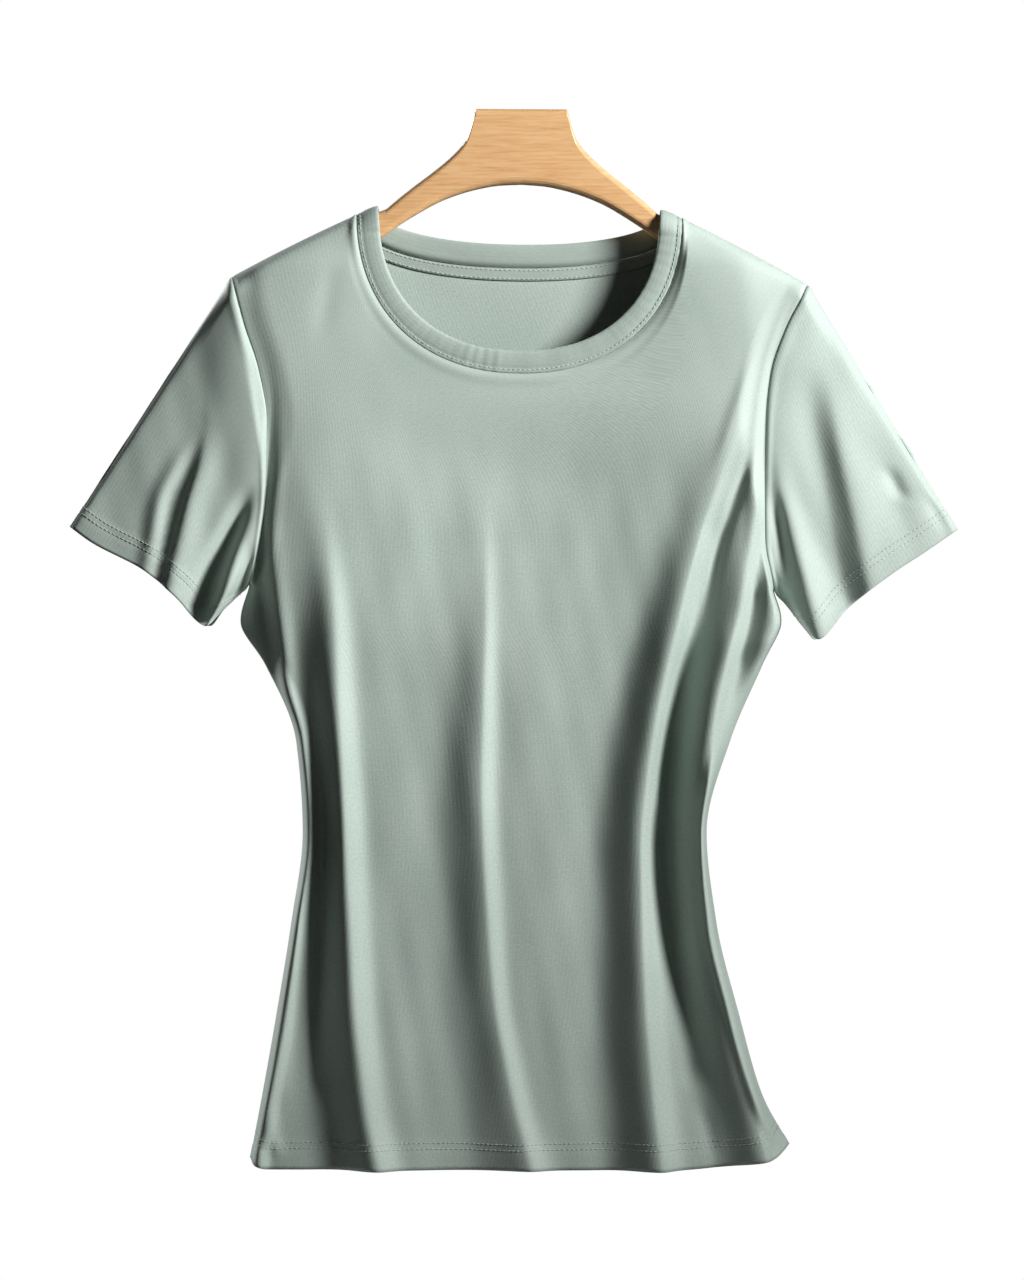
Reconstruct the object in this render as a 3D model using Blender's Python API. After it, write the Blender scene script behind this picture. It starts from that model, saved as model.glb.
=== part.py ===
"""A short-sleeved jersey t-shirt hanging on a wooden hanger, in metres, +Z up, front towards -Y.

The origin is the middle of the hanger's flat top, where the hanger is held. The tables below are in
millimetres: x to the right, z up, depth away from the shirt's middle plane y = 0. Each cloth piece is a
wall whose outer points are worked out first, and whose inner points lie one cloth thickness inside them.
"""

import math
from collections import namedtuple

import bmesh
import bpy
import numpy as np

MM = 0.001

# Cloth
WALL = 1.2
BAND_WALL = 2.0
TAPE_WALL = 1.0
SEAM_GAP = 0.3

# Shoulder line of the shirt, which falls from the neck to the tips and leans a little to one side
NECK_REACH = 97.0
NECK_TOP = -66.2
SHOULDER_SLOPE = 0.45
SHOULDER_CURVE = 0.0006
LEAN = -0.018
ROLL_HEIGHT = 14.0
SHOULDER_DEPTH = 12.0

# Neck seam, a wide U in front and a shallow one behind
NECK_MIDDLE = -1.5
NECK_HALF_WIDTH = 108.0
FRONT_NECK_DROP = 105.0
BACK_NECK_DROP = 33.0
NECK_POWER = 2.2
NECK_END_CROWDING = 0.12
NECK_SPREAD = 20.0
NECK_SPREAD_FALL = 2
NECK_SAMPLES = 400
BAND_WIDTH = 15.3
BAND_FOLD = 1.6
BAND_FOLD_HALF_FLAT = 0.4
TAPE_WIDTH = 8.0
TAPE_BELOW_SEAM = 0.8
TAPE_SEARCH_SHARE = 0.9
TAPE_SEARCH_ROWS = 21

# Armhole seam: share of the way from the underarm to the shoulder tip, and its place on each side
ArmholePoint = namedtuple("ArmholePoint", "share left_x left_z right_x right_z")
ARMHOLE = (
    ArmholePoint(0.00, -181.0, -316.0, 168.0, -320.0),
    ArmholePoint(0.20, -173.0, -281.0, 161.5, -284.0),
    ArmholePoint(0.40, -169.0, -240.0, 161.3, -240.0),
    ArmholePoint(0.55, -168.6, -207.0, 162.0, -205.0),
    ArmholePoint(0.70, -174.0, -174.0, 165.0, -176.0),
    ArmholePoint(0.85, -184.0, -143.0, 175.0, -146.0),
    ArmholePoint(1.00, -192.5, -111.2, 190.5, -116.6),
)
ARMHOLE_DEPTH = 12.0
ARMHOLE_PULL_FALL = 1.2
UNDERARM_ROUNDING = 0.16
ARMHOLE_ROWS = (0, 0.03, 0.08, 0.16, 0.28, 0.4, 0.52, 0.64, 0.75, 0.85, 0.92, 0.96, 0.985, 1)
TIP_NORMAL = (0.6, 0.8)
UNDERARM_NORMAL = (0.25, -0.97)

# Heights of the body's sections from the hem up, and of three more on the chest, for depth alone
HEM = -702.0
LEVELS = (HEM, -655.0, -600.0, -540.0, -480.0, -420.0, -370.0, -340.0, -318.0)
CHEST_LEVELS = (-255.0, -190.0, -130.0)
BODY_ROWS = 12

# A guide is the run of one fold's crest or trough from the hem up: its x and hem height, its depth at each
# level, and the number of columns between it and the next guide.
Guide = namedtuple("Guide", "name columns hem x depth")
LEFT_SEAM = (-180.5, -172.7, -163.0, -153.3, -145.7, -150.0, -170.0, -187.0, ARMHOLE[0].left_x)
RIGHT_SEAM = (178.0, 160.5, 144.5, 129.8, 123.3, 138.7, 160.0, 173.0, ARMHOLE[0].right_x)
FLAT = (0.0,) * (len(LEVELS) + len(CHEST_LEVELS))
FRONT_GUIDES = (
    Guide("left seam", 2, -696, LEFT_SEAM, FLAT),
    Guide("left recess", 2, -700, (-174, -166, -157, -149, -142.5, -147, -163, -171.5, -177),
          (17, 17, 16, 15, 14, 14, 9, 8.5, 8, 11, 12, 12)),
    Guide("left strip", 3, -702, (-164, -157.5, -150, -143.6, -137.7, -141.3, -149.3, -154.5, -158),
          (28, 27, 26, 25, 24, 25, 25, 24, 23, 17, 13.5, 12)),
    Guide("left groove", 3, -702, (-107, -114, -121, -124, -125.5, -129.7, -134, -136.5, -138),
          (10, 8, 7, 7, 8, 11, 15, 17.5, 19, 16, 13, 12)),
    Guide("left ridge", 4, -702, (-82, -90.5, -98.5, -104, -109, -112.7, -116, -118, -119.5),
          (35, 34, 32, 30, 28, 26, 24, 23, 22, 17, 13, 12)),
    Guide("left plain", 4, -702, (-54, -59.5, -65, -69, -72, -73, -72, -71.5, -71),
          (24, 23, 22, 21, 21, 21, 21, 20.5, 20, 17, 13.5, 12)),
    Guide("middle groove", 3, -702, (-9, -21.6, -28.5, -35, -39, -39, -36.6, -34.5, -33),
          (14, 13, 13, 13, 14, 15, 16, 17, 18, 16.5, 13.5, 12)),
    Guide("middle ridge", 4, -702, (13.6, 2, -8.3, -14, -18.8, -20.3, -18.6, -18.5, -18.3),
          (34, 32, 30, 28, 26, 25, 24, 22.5, 21.5, 17, 13.5, 12)),
    Guide("middle plain", 7, -702, (44, 35.6, 27.6, 24, 23, 23.6, 25.6, 27.5, 29),
          (23, 22, 21, 21, 21, 21, 21, 20.5, 20, 17, 13.5, 12)),
    Guide("right plain", 4, -702, (57, 51, 45, 45, 47, 50, 53, 57, 60),
          (21, 20, 19, 19, 20, 20, 20, 20, 20, 17, 13, 12)),
    Guide("right groove", 3, -702, (71.5, 68, 63, 65.5, 68.7, 72.4, 75, 80.5, 84),
          (12, 10, 9, 9, 10, 12, 14, 16, 17, 15, 12.5, 12)),
    Guide("right ridge", 3, -702, (102.4, 94.8, 86.5, 83.3, 82, 89, 98.4, 104.5, 108.5),
          (34, 33, 32, 32, 31, 29, 27, 26, 25, 19, 14.5, 12)),
    Guide("deep groove", 3, -698, (149, 131.3, 114.7, 102.6, 101.6, 105.3, 113.4, 117.5, 120),
          (9, 7, 6, 6, 6, 9, 13, 15.5, 17, 14, 12, 12)),
    Guide("right strip", 2, -695, (166, 153, 135, 119.6, 116.5, 127.3, 135.7, 141, 144.5),
          (26, 25, 24, 24, 25, 26, 26, 25, 24, 18, 14, 12)),
    Guide("right flank", 2, -691, (172.5, 157.5, 141, 125.8, 120.9, 134.5, 150, 157, 162),
          (14, 13, 13, 13, 13, 13, 12, 12, 12, 12, 12, 12)),
    Guide("right seam", 0, -687, RIGHT_SEAM, FLAT),
)
BACK_GUIDES = (
    Guide("left seam", 3, -696, LEFT_SEAM, FLAT),
    Guide("left ridge", 3, -700, (-150, -146, -140, -135, -130, -134, -148, -155, -160),
          (30, 29, 28, 27, 26, 25, 24, 23, 22, 17, 13, 12)),
    Guide("left groove", 3, -700, (-112, -112, -111, -110, -108, -110, -114, -119, -122),
          (12, 11, 11, 11, 11, 13, 15, 17, 18, 15.5, 12.5, 12)),
    Guide("inner ridge", 3, -701, (-78, -80, -82, -83, -84, -84, -85, -87, -88),
          (32, 31, 30, 28, 27, 25, 23, 22, 21, 17, 13, 12)),
    Guide("left plain", 3, -701, (-45, -46, -47, -48, -48, -48, -48, -48, -48),
          (22, 22, 21, 21, 21, 20.5, 20, 19.5, 19, 17, 13, 12)),
    Guide("middle groove", 3, -701, (-12, -10, -8, -8, -8, -8, -8, -8, -8),
          (13, 12, 12, 13, 14, 15, 17, 18, 18.5, 16.5, 13, 12)),
    Guide("middle ridge", 3, -701, (20, 20, 19, 18, 17, 16, 15, 15, 15),
          (33, 32, 30, 28, 26, 24, 22, 21, 20, 17, 13, 12)),
    Guide("right plain", 3, -700, (52, 50, 48, 46, 45, 46, 50, 52.5, 54),
          (21, 21, 20, 20, 20, 20, 20, 19.5, 19, 17, 13, 12)),
    Guide("right groove", 3, -698, (84, 80, 76, 72, 70, 74, 80, 85, 88),
          (11, 10, 10, 10, 10, 12, 15, 17, 18, 15.5, 12.5, 12)),
    Guide("right ridge", 3, -695, (120, 112, 104, 96, 92, 98, 108, 115, 120),
          (32, 31, 30, 29, 28, 27, 25, 24, 23, 18, 13.5, 12)),
    Guide("right flank", 3, -691, (155, 141, 126, 113, 108, 119, 136, 144.5, 150),
          (20, 19, 18, 18, 18, 18, 18, 17.5, 17, 15, 12.5, 12)),
    Guide("right seam", 0, -687, RIGHT_SEAM, FLAT),
)

# Which guides end at the neck points, where those beyond them end on the shoulders, as x, and where those
# between them end on the neck seam, as shares of its length
Panel = namedtuple("Panel", "facing guides neck_drop neck_left neck_right left_tops right_tops shares")
FRONT = Panel(-1, FRONT_GUIDES, FRONT_NECK_DROP, 3, 9, (-176.0, -150.0),
              (158.0, 167.0, 175.0, 182.0, 187.0), (0.0, 0.14, 0.29, 0.43, 0.48, 0.66, 1.0))
BACK = Panel(1, BACK_GUIDES, BACK_NECK_DROP, 2, 9, (-151.0,), (149.0,),
             (0.0, 0.14, 0.29, 0.43, 0.57, 0.71, 0.86, 1.0))

# Sleeve folds: place on the armhole and on the cuff as shares from the underside to the top crease, and
# depth at one third, two thirds and the whole of the way to the cuff.
SleeveFold = namedtuple("SleeveFold", "name armhole cuff depth")
LEFT_SLEEVE_FRONT = (
    SleeveFold("underside", 0.00, 0.00, (0, 0, 0)),
    SleeveFold("inner ridge", 0.20, 0.10, (15, 20, 21)),
    SleeveFold("inner groove", 0.34, 0.20, (12, 8, 6)),
    SleeveFold("outer ridge", 0.48, 0.32, (15, 19, 20)),
    SleeveFold("outer groove", 0.62, 0.57, (12, 9, 8)),
    SleeveFold("plain", 0.80, 0.78, (13, 14, 13)),
    SleeveFold("top flank", 0.94, 0.94, (8, 8, 7)),
    SleeveFold("top crease", 1.00, 1.00, (0, 0, 0)),
)
RIGHT_SLEEVE_FRONT = (
    SleeveFold("underside", 0.00, 0.00, (0, 0, 0)),
    SleeveFold("small groove", 0.16, 0.07, (10, 12, 13)),
    SleeveFold("inner ridge", 0.30, 0.17, (14, 19, 20)),
    SleeveFold("groove", 0.45, 0.30, (10, 7, 6)),
    SleeveFold("outer ridge", 0.60, 0.45, (14, 17, 18)),
    SleeveFold("plain", 0.80, 0.76, (13, 13, 12)),
    SleeveFold("top flank", 0.94, 0.94, (8, 8, 7)),
    SleeveFold("top crease", 1.00, 1.00, (0, 0, 0)),
)
SLEEVE_BACK = (
    SleeveFold("underside", 0.00, 0.00, (0, 0, 0)),
    SleeveFold("inner ridge", 0.24, 0.16, (15, 18, 19)),
    SleeveFold("groove", 0.44, 0.38, (11, 8, 7)),
    SleeveFold("outer ridge", 0.64, 0.60, (14, 16, 16)),
    SleeveFold("plain", 0.82, 0.82, (12, 12, 11)),
    SleeveFold("top flank", 0.94, 0.94, (8, 8, 7)),
    SleeveFold("top crease", 1.00, 1.00, (0, 0, 0)),
)
SLEEVE_ROWS = 10

# Cuff edge from the underside to the top crease: share of its length, x and z
CuffPoint = namedtuple("CuffPoint", "share x z")
LEFT_CUFF = (
    CuffPoint(0.00, -199.0, -333.0),
    CuffPoint(0.11, -208.7, -343.0),
    CuffPoint(0.33, -229.8, -323.0),
    CuffPoint(0.54, -249.7, -306.6),
    CuffPoint(0.86, -285.0, -288.0),
    CuffPoint(1.00, -300.0, -277.3),
)
RIGHT_CUFF = (
    CuffPoint(0.00, 190.0, -347.0),
    CuffPoint(0.10, 196.5, -352.0),
    CuffPoint(0.28, 216.5, -331.0),
    CuffPoint(0.56, 245.0, -309.0),
    CuffPoint(0.79, 268.0, -294.0),
    CuffPoint(1.00, 289.6, -279.3),
)

# Hanger: a board with rounded edges, by distance from its middle
HangerSection = namedtuple("HangerSection", "out top bottom")
HANGER_NECK = (
    HangerSection(0.0, 0.0, -50.0),
    HangerSection(15.0, 0.0, -50.9),
    HangerSection(30.0, 0.0, -53.8),
    HangerSection(33.0, -10.0, -54.6),
    HangerSection(36.5, -20.0, -55.6),
    HangerSection(44.5, -30.0, -58.3),
    HangerSection(55.0, -39.5, -62.7),
    HangerSection(72.0, -52.8, -72.5),
    HangerSection(82.0, -61.0, -79.0),
    HangerSection(90.0, -68.0, -85.0),
)
HANGER_HALF_THICKNESS = 6.0
HANGER_EDGE_RADIUS = 4.5
HANGER_UNDER_CLOTH = 4.4
HANGER_ARM_HEIGHT = 20.0
HANGER_REACH = 180.0
HANGER_NECK_STEPS = 3
HANGER_ARM_SECTIONS = 9
HANGER_NECK_TO_ARM = 3.0
HANGER_TIP_ROUND = 3.0
HANGER_TIP_DROP = 5.0
EDGE_LAND = 0.5
CORNER_STEPS = 4

SHARP_ANGLE = 50.0

JERSEY_COLOUR = (0.367, 0.456, 0.402, 1.0)
DOUBLE_JERSEY_COLOUR = (0.342, 0.434, 0.380, 1.0)
TAPE_COLOUR = (0.296, 0.380, 0.330, 1.0)
WOOD_COLOUR = (0.730, 0.413, 0.171, 1.0)


def smooth(knots, values, at):
    """A curve through the values that never overshoots them, so that cloth never crosses itself."""
    knots = np.asarray(knots, float)
    values = np.asarray(values, float)
    at = np.clip(np.asarray(at, float), knots[0], knots[-1])
    tall = (-1,) + (1,) * (values.ndim - 1)
    widths = np.diff(knots).reshape(tall)
    slopes = np.diff(values, axis=0) / widths
    same_way = slopes[:-1] * slopes[1:] > 0
    total = np.where(same_way, slopes[:-1] + slopes[1:], 1)
    tangents = np.empty_like(values)
    tangents[1:-1] = np.where(same_way, 2 * slopes[:-1] * slopes[1:] / total, 0)
    tangents[0] = slopes[0]
    tangents[-1] = slopes[-1]
    before = np.clip(np.searchsorted(knots, at, side="right") - 1, 0, len(knots) - 2)
    width = widths[before]
    t = ((at - knots[before]) / np.diff(knots)[before]).reshape(tall)
    start = (1 + 2 * t) * (1 - t) ** 2 * values[before] + t * (1 - t) ** 2 * width * tangents[before]
    end = t * t * (3 - 2 * t) * values[before + 1] + t * t * (t - 1) * width * tangents[before + 1]
    return start + end


def unit(vectors):
    return vectors / np.linalg.norm(vectors, axis=-1, keepdims=True)


def quarter_round(share):
    """0 to 1 along a quarter circle as share goes from 0 to 1."""
    return np.sqrt(1 - (1 - np.clip(share, 0, 1)) ** 2)


def shoulder_line(x):
    """Height of the shirt's top edge."""
    out = np.abs(x) - NECK_REACH
    return NECK_TOP - SHOULDER_SLOPE * out - SHOULDER_CURVE * out * np.abs(out) + LEAN * x


def roll(x, z):
    """Share of full depth, which cloth that bends over the hanger reaches a little below its top edge."""
    return quarter_round((shoulder_line(x) - z) / ROLL_HEIGHT)


def neck_seam(drop, share):
    """x and z of the neck seam, by share of its length from the left neck point to the right one."""
    share = np.asarray(share, float)
    turn = np.linspace(0, math.pi, NECK_SAMPLES)
    x = NECK_MIDDLE - NECK_HALF_WIDTH * np.sign(np.cos(turn)) * np.abs(np.cos(turn)) ** (2 / NECK_POWER)
    ends = shoulder_line(x[[0, -1]])
    level = np.interp(x, x[[0, -1]], ends)
    z = level - drop * np.sin(turn) ** (2 / NECK_POWER)
    z[-1] = ends[1]
    length = np.concatenate([[0], np.cumsum(np.hypot(np.diff(x), np.diff(z)))])
    crowded = share - NECK_END_CROWDING * np.sin(2 * math.pi * share)
    return np.stack([np.interp(crowded * length[-1], length, v) for v in (x, z)], axis=-1)


def top_edge(panel, at):
    """x and z of a panel's top edge: shoulder, neck seam and shoulder."""
    last = len(panel.guides) - 1
    on_neck = np.arange(panel.neck_left, panel.neck_right + 1)
    points = neck_seam(panel.neck_drop, np.interp(at, on_neck, panel.shares))
    neck_ends = neck_seam(panel.neck_drop, (0, 1))[:, 0]
    left_tops = (ARMHOLE[-1].left_x, *panel.left_tops, neck_ends[0])
    left = at < panel.neck_left
    points[left, 0] = np.interp(at[left], np.arange(panel.neck_left + 1), left_tops)
    right_tops = (neck_ends[1], *panel.right_tops, ARMHOLE[-1].right_x)
    right = at > panel.neck_right
    points[right, 0] = np.interp(at[right], np.arange(panel.neck_right, last + 1), right_tops)
    on_shoulder = left | right
    points[on_shoulder, 1] = shoulder_line(points[on_shoulder, 0])
    return points


def swing_peak():
    """The highest value of s * s * (1 - s), at s = 2 / 3."""
    return 4 / 27


def neck_spread(panel, top, at):
    """How far columns swing out below the neck, so that they leave its steep sides at an angle."""
    neck = (at >= panel.neck_left) & (at <= panel.neck_right)
    run = np.gradient(top[neck], axis=0)
    left_end, right_end = top[neck][[0, -1], 0]
    out = np.interp(top[:, 0], (top[0, 0], left_end, right_end, top[-1, 0]), (0, -1, 1, 0))
    out = np.sign(out) * np.abs(out) ** NECK_SPREAD_FALL
    out[neck] = unit(run)[:, 1]
    return NECK_SPREAD * out


def armhole(sign, share):
    """x, z and depth of the armhole seam on the left (sign -1) or the right (sign 1)."""
    rows = np.array([(p.left_x, p.left_z) if sign < 0 else (p.right_x, p.right_z) for p in ARMHOLE])
    rows[-1, 1] = shoulder_line(rows[-1, 0])
    x, z = smooth([p.share for p in ARMHOLE], rows, share).T
    closing = quarter_round(np.asarray(share, float) / UNDERARM_ROUNDING)
    return x, z, ARMHOLE_DEPTH * closing * roll(x, z)


def armhole_normal(sign, facing, share, depth):
    """Unit normals of the cloth along the armhole seam."""
    share = np.asarray(share, float)
    lean = np.clip(depth / ARMHOLE_DEPTH, 0, 1)
    upright = np.sqrt(1 - lean**2)
    out = np.where(share > 0.5, TIP_NORMAL[0], UNDERARM_NORMAL[0]) * sign * upright
    up = np.where(share > 0.5, TIP_NORMAL[1], UNDERARM_NORMAL[1]) * upright
    return unit(np.stack([out, facing * lean, up], axis=-1))


def armhole_ring(sign):
    """Points, normals and directions across the seam, down the front from the tip and up the back."""
    down = np.array(ARMHOLE_ROWS[::-1])
    up = np.array(ARMHOLE_ROWS[1:-1])
    points, normals = [], []
    for facing, share in ((-1, down), (1, up)):
        x, z, depth = armhole(sign, share)
        points.append(np.stack([x, facing * depth, z], axis=-1))
        normals.append(armhole_normal(sign, facing, share, depth))
    points = np.concatenate(points)
    normals = np.concatenate(normals)
    tangents = np.roll(points, -1, axis=0) - np.roll(points, 1, axis=0)
    across = unit(np.cross(tangents, normals))
    across *= np.sign((across[:, 0] * sign).sum())
    return points, normals, across


def columns_of(guides):
    """Places of a panel's columns, in guides from the left seam."""
    at = [i + k / g.columns for i, g in enumerate(guides) for k in range(g.columns)]
    return np.array(at + [len(guides) - 1])


def panel_surface(panel, at, body_rows, armhole_rows):
    """Outer points of a panel, from the hem up and from the left seam to the right one."""
    guides = panel.guides
    last = len(guides) - 1
    index = np.arange(last + 1)
    levels = np.arange(len(LEVELS))
    x_net = smooth(index, np.array([g.x for g in guides], float), at).T
    z_net = np.repeat(np.array(LEVELS)[:, None], len(at), axis=1)
    z_net[0] = smooth(index, [g.hem for g in guides], at)
    z_net[-1] = np.interp(at, (0, last), (ARMHOLE[0].left_z, ARMHOLE[0].right_z))
    rows = np.linspace(0, levels[-1], body_rows + 1)
    x_body = smooth(levels, x_net, rows)
    z_body = smooth(levels, z_net, rows)
    heights = LEVELS + CHEST_LEVELS
    depth_net = np.array([g.depth for g in guides], float)
    body_heights = np.interp(rows, levels, LEVELS)
    depth_body = smooth(index, smooth(heights, depth_net.T, body_heights).T, at).T
    body = np.stack([x_body, panel.facing * depth_body, z_body], axis=-1)

    share = np.asarray(armhole_rows, float)[1:]
    top = top_edge(panel, at)
    flat = (1 - share)[:, None, None] * np.stack([x_net[-1], z_net[-1]], axis=-1)
    flat = flat + share[:, None, None] * top
    swing = share**2 * (1 - share)
    swing /= swing_peak()
    flat[..., 0] += swing[:, None] * neck_spread(panel, top, at)
    chest_heights = LEVELS[-1] + share * (CHEST_LEVELS[-1] - LEVELS[-1])
    chest_depth = smooth(heights, depth_net.T, chest_heights).T
    chest_reach = {-1: panel.neck_left, 1: last - panel.neck_right}
    for sign, column in ((-1, 0), (1, last)):
        x, z, depth = armhole(sign, share)
        pull = np.stack([x, z], axis=-1) - flat[:, 0 if sign < 0 else -1]
        near = np.clip(1 - np.abs(at - column) / chest_reach[sign], 0, 1) ** ARMHOLE_PULL_FALL
        flat = flat + near[None, :, None] * pull[:, None, :]
        chest_depth[column] = depth
    depth = smooth(index, chest_depth, at).T
    softened = roll(flat[..., 0], flat[..., 1])
    softened[:, [0, -1]] = 1
    chest = np.stack([flat[..., 0], panel.facing * depth * softened, flat[..., 1]], axis=-1)
    return np.concatenate([body, chest])


def top_normals(panel, points):
    """Normals of the cloth along a panel's top edge, which turn upright where it crosses the hanger."""
    lean = np.clip(np.abs(points[:, 1]) / SHOULDER_DEPTH, 0, 1)
    upright = np.sqrt(1 - lean**2)
    up = unit(np.stack([np.sign(points[:, 0]) * SHOULDER_SLOPE, np.ones(len(points))], axis=-1))
    return unit(np.stack([up[:, 0] * upright, panel.facing * lean, up[:, 1] * upright], axis=-1))


def surface_normals(grid, outward, closed=False):
    """Unit normals of a grid of points, all turned to the side that outward points to."""
    wide = grid
    if closed:
        wide = np.concatenate([grid[:, -1:], grid, grid[:, :1]], axis=1)
    across = np.gradient(wide, axis=1)
    if closed:
        across = across[:, 1:-1]
    normals = unit(np.cross(np.gradient(grid, axis=0), across))
    return normals * np.sign((normals * outward).sum())


def panel_wall(panel):
    """Outer and inner points of a body panel."""
    at = columns_of(panel.guides)
    outer = panel_surface(panel, at, BODY_ROWS, ARMHOLE_ROWS)
    normals = surface_normals(outer, np.array((0, panel.facing, 0)))
    normals[-1] = top_normals(panel, outer[-1])
    for sign, column in ((-1, 0), (1, -1)):
        normals[:BODY_ROWS, column] = (sign, 0, 0)
        share = np.array(ARMHOLE_ROWS)
        _, _, depth = armhole(sign, share)
        normals[BODY_ROWS:, column] = armhole_normal(sign, panel.facing, share, depth)
        _, _, across = armhole_ring(sign)
        seam = across[: len(share)][::-1]
        if panel.facing > 0:
            seam = np.concatenate([seam[:1], across[len(share) :], seam[-1:]])
        outer[BODY_ROWS:, column] -= seam * SEAM_GAP / 2
    neck = (at >= panel.neck_left) & (at <= panel.neck_right)
    outer[-1, neck] -= neck_ways(panel) * SEAM_GAP / 2
    outer[..., 1] += panel.facing * SEAM_GAP / 2
    return outer, outer - normals * WALL


def neck_ring():
    """Points, normals and directions to the band's free edge: the front left to right, then the back."""
    points, normals = [], []
    for panel in (FRONT, BACK):
        at = columns_of(panel.guides)
        top = panel_surface(panel, at, BODY_ROWS, ARMHOLE_ROWS)[-1]
        neck = (at >= panel.neck_left) & (at <= panel.neck_right)
        points.append(top[neck])
        normals.append(top_normals(panel, top)[neck])
    points = np.concatenate([points[0], points[1][::-1][1:-1]])
    normals = np.concatenate([normals[0], normals[1][::-1][1:-1]])
    tangents = np.roll(points, -1, axis=0) - np.roll(points, 1, axis=0)
    ways = unit(np.cross(normals, tangents))
    return points, normals, ways * np.sign((ways * (0, 0, 1)).sum())


def neck_ways(panel):
    """The neck ring's directions at one panel's columns, left to right."""
    _, _, ways = neck_ring()
    front_count = sum(g.columns for g in FRONT_GUIDES[FRONT.neck_left:FRONT.neck_right]) + 1
    if panel is FRONT:
        return ways[:front_count]
    return np.concatenate([ways[:1], ways[front_count:][::-1], ways[front_count - 1:front_count]])


def neckband_rings():
    """Cross-sections of the folded neckband, all the way round."""
    points, normals, ways = neck_ring()
    middle = -BAND_WALL / 2
    profile = (
        (SEAM_GAP / 2, 0),
        (BAND_WIDTH - BAND_FOLD, 0),
        (BAND_WIDTH, middle + BAND_FOLD_HALF_FLAT),
        (BAND_WIDTH, middle - BAND_FOLD_HALF_FLAT),
        (BAND_WIDTH - BAND_FOLD, -BAND_WALL),
        (SEAM_GAP / 2, -BAND_WALL),
    )
    return np.stack([points + out * ways + rise * normals for out, rise in profile], axis=1)


def neck_tape_wall():
    """The tape inside the back neck, made from the back panel's own points and moved in."""
    at = columns_of(BACK.guides)
    share = np.linspace(TAPE_SEARCH_SHARE, 1, TAPE_SEARCH_ROWS)
    rows = panel_surface(BACK, at, BODY_ROWS, np.concatenate([[0], share]))[-TAPE_SEARCH_ROWS:]
    below = np.linalg.norm(rows[-1] - rows[0], axis=-1)
    reach = np.stack([1 - (TAPE_BELOW_SEAM + k * TAPE_WIDTH / 2) / below for k in (2, 1, 0)])
    keep = (at >= BACK.neck_left + 1) & (at <= BACK.neck_right - 1)
    knots = np.linspace(0, 1, TAPE_SEARCH_ROWS)
    outer = np.stack([[smooth(knots, rows[:, j], (r,))[0] for j, r in enumerate(line)] for line in reach])
    outer = outer[:, keep]
    normals = surface_normals(outer, np.array((0, 1, 0)))
    outer[..., 1] += SEAM_GAP / 2
    outer = outer - normals * (WALL + SEAM_GAP)
    return outer, outer - normals * TAPE_WALL


def sleeve_surface(sign, front_folds, back_folds, cuff, rows, ring):
    """Outer points of a sleeve, from the armhole ring to the cuff."""
    down = np.array(ARMHOLE_ROWS[::-1])
    up = np.array(ARMHOLE_ROWS[1:-1])
    cuff_points = np.array([(p.x, p.z) for p in cuff], float)
    ends, depths = [], []
    for facing, share, folds in ((-1, down, front_folds), (1, up, back_folds)):
        places = [f.armhole for f in folds]
        at_cuff = smooth(places, [f.cuff for f in folds], share)
        end = smooth([p.share for p in cuff], cuff_points, at_cuff)
        ends.append(end)
        depths.append(facing * smooth(places, [f.depth for f in folds], share))
    ends = np.concatenate(ends)
    depths = np.concatenate([ring[:, 1:2], np.concatenate(depths)], axis=1)
    way = np.linspace(0, 1, rows + 1)
    y = smooth((0, 1 / 3, 2 / 3, 1), depths.T, way)
    flat = (1 - way)[:, None, None] * ring[:, [0, 2]] + way[:, None, None] * ends
    return np.stack([flat[..., 0], y, flat[..., 1]], axis=-1)


def sleeve_wall(sign, front_folds, back_folds, cuff):
    """Outer and inner points of a sleeve, open at the armhole and at the cuff."""
    ring, ring_normals, across = armhole_ring(sign)
    outer = sleeve_surface(sign, front_folds, back_folds, cuff, SLEEVE_ROWS, ring)
    outward = outer - outer.mean(axis=1, keepdims=True)
    normals = surface_normals(outer, outward, closed=True)
    normals[0] = ring_normals
    outer[0] += across * SEAM_GAP / 2
    return outer, outer - normals * WALL


def hanger_rings():
    """Cross-sections of the hanger from its left end to its right end."""
    rings = []
    for sign in (-1, 1):
        side = hanger_neck_side(sign)
        reaches = np.linspace(NECK_REACH + HANGER_NECK_TO_ARM, HANGER_REACH, HANGER_ARM_SECTIONS)
        for out in reaches:
            top = shoulder_line(sign * out) - HANGER_UNDER_CLOTH
            side.append((out, top, top - HANGER_ARM_HEIGHT))
        out, top, bottom = side[-1]
        side.append((out + HANGER_TIP_ROUND, top - HANGER_TIP_DROP, bottom + HANGER_TIP_ROUND))
        if sign < 0:
            side = side[::-1]
        else:
            side = side[1:]
        rings += [hanger_ring(sign * out, top, bottom) for out, top, bottom in side]
    return np.array(rings)


def hanger_neck_side(sign):
    """Distance out, top and bottom of the hanger's sections from its middle to where its arm begins."""
    outs = [s.out for s in HANGER_NECK]
    steps = np.arange((len(outs) - 1) * HANGER_NECK_STEPS + 1) / HANGER_NECK_STEPS
    out = np.interp(steps, np.arange(len(outs)), outs)
    lean = LEAN * sign * out
    top = smooth(outs, [s.top for s in HANGER_NECK], out) + lean * np.minimum(1, out / NECK_REACH)
    bottom = smooth(outs, [s.bottom for s in HANGER_NECK], out) + lean
    return list(zip(out, top, bottom))


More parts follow.
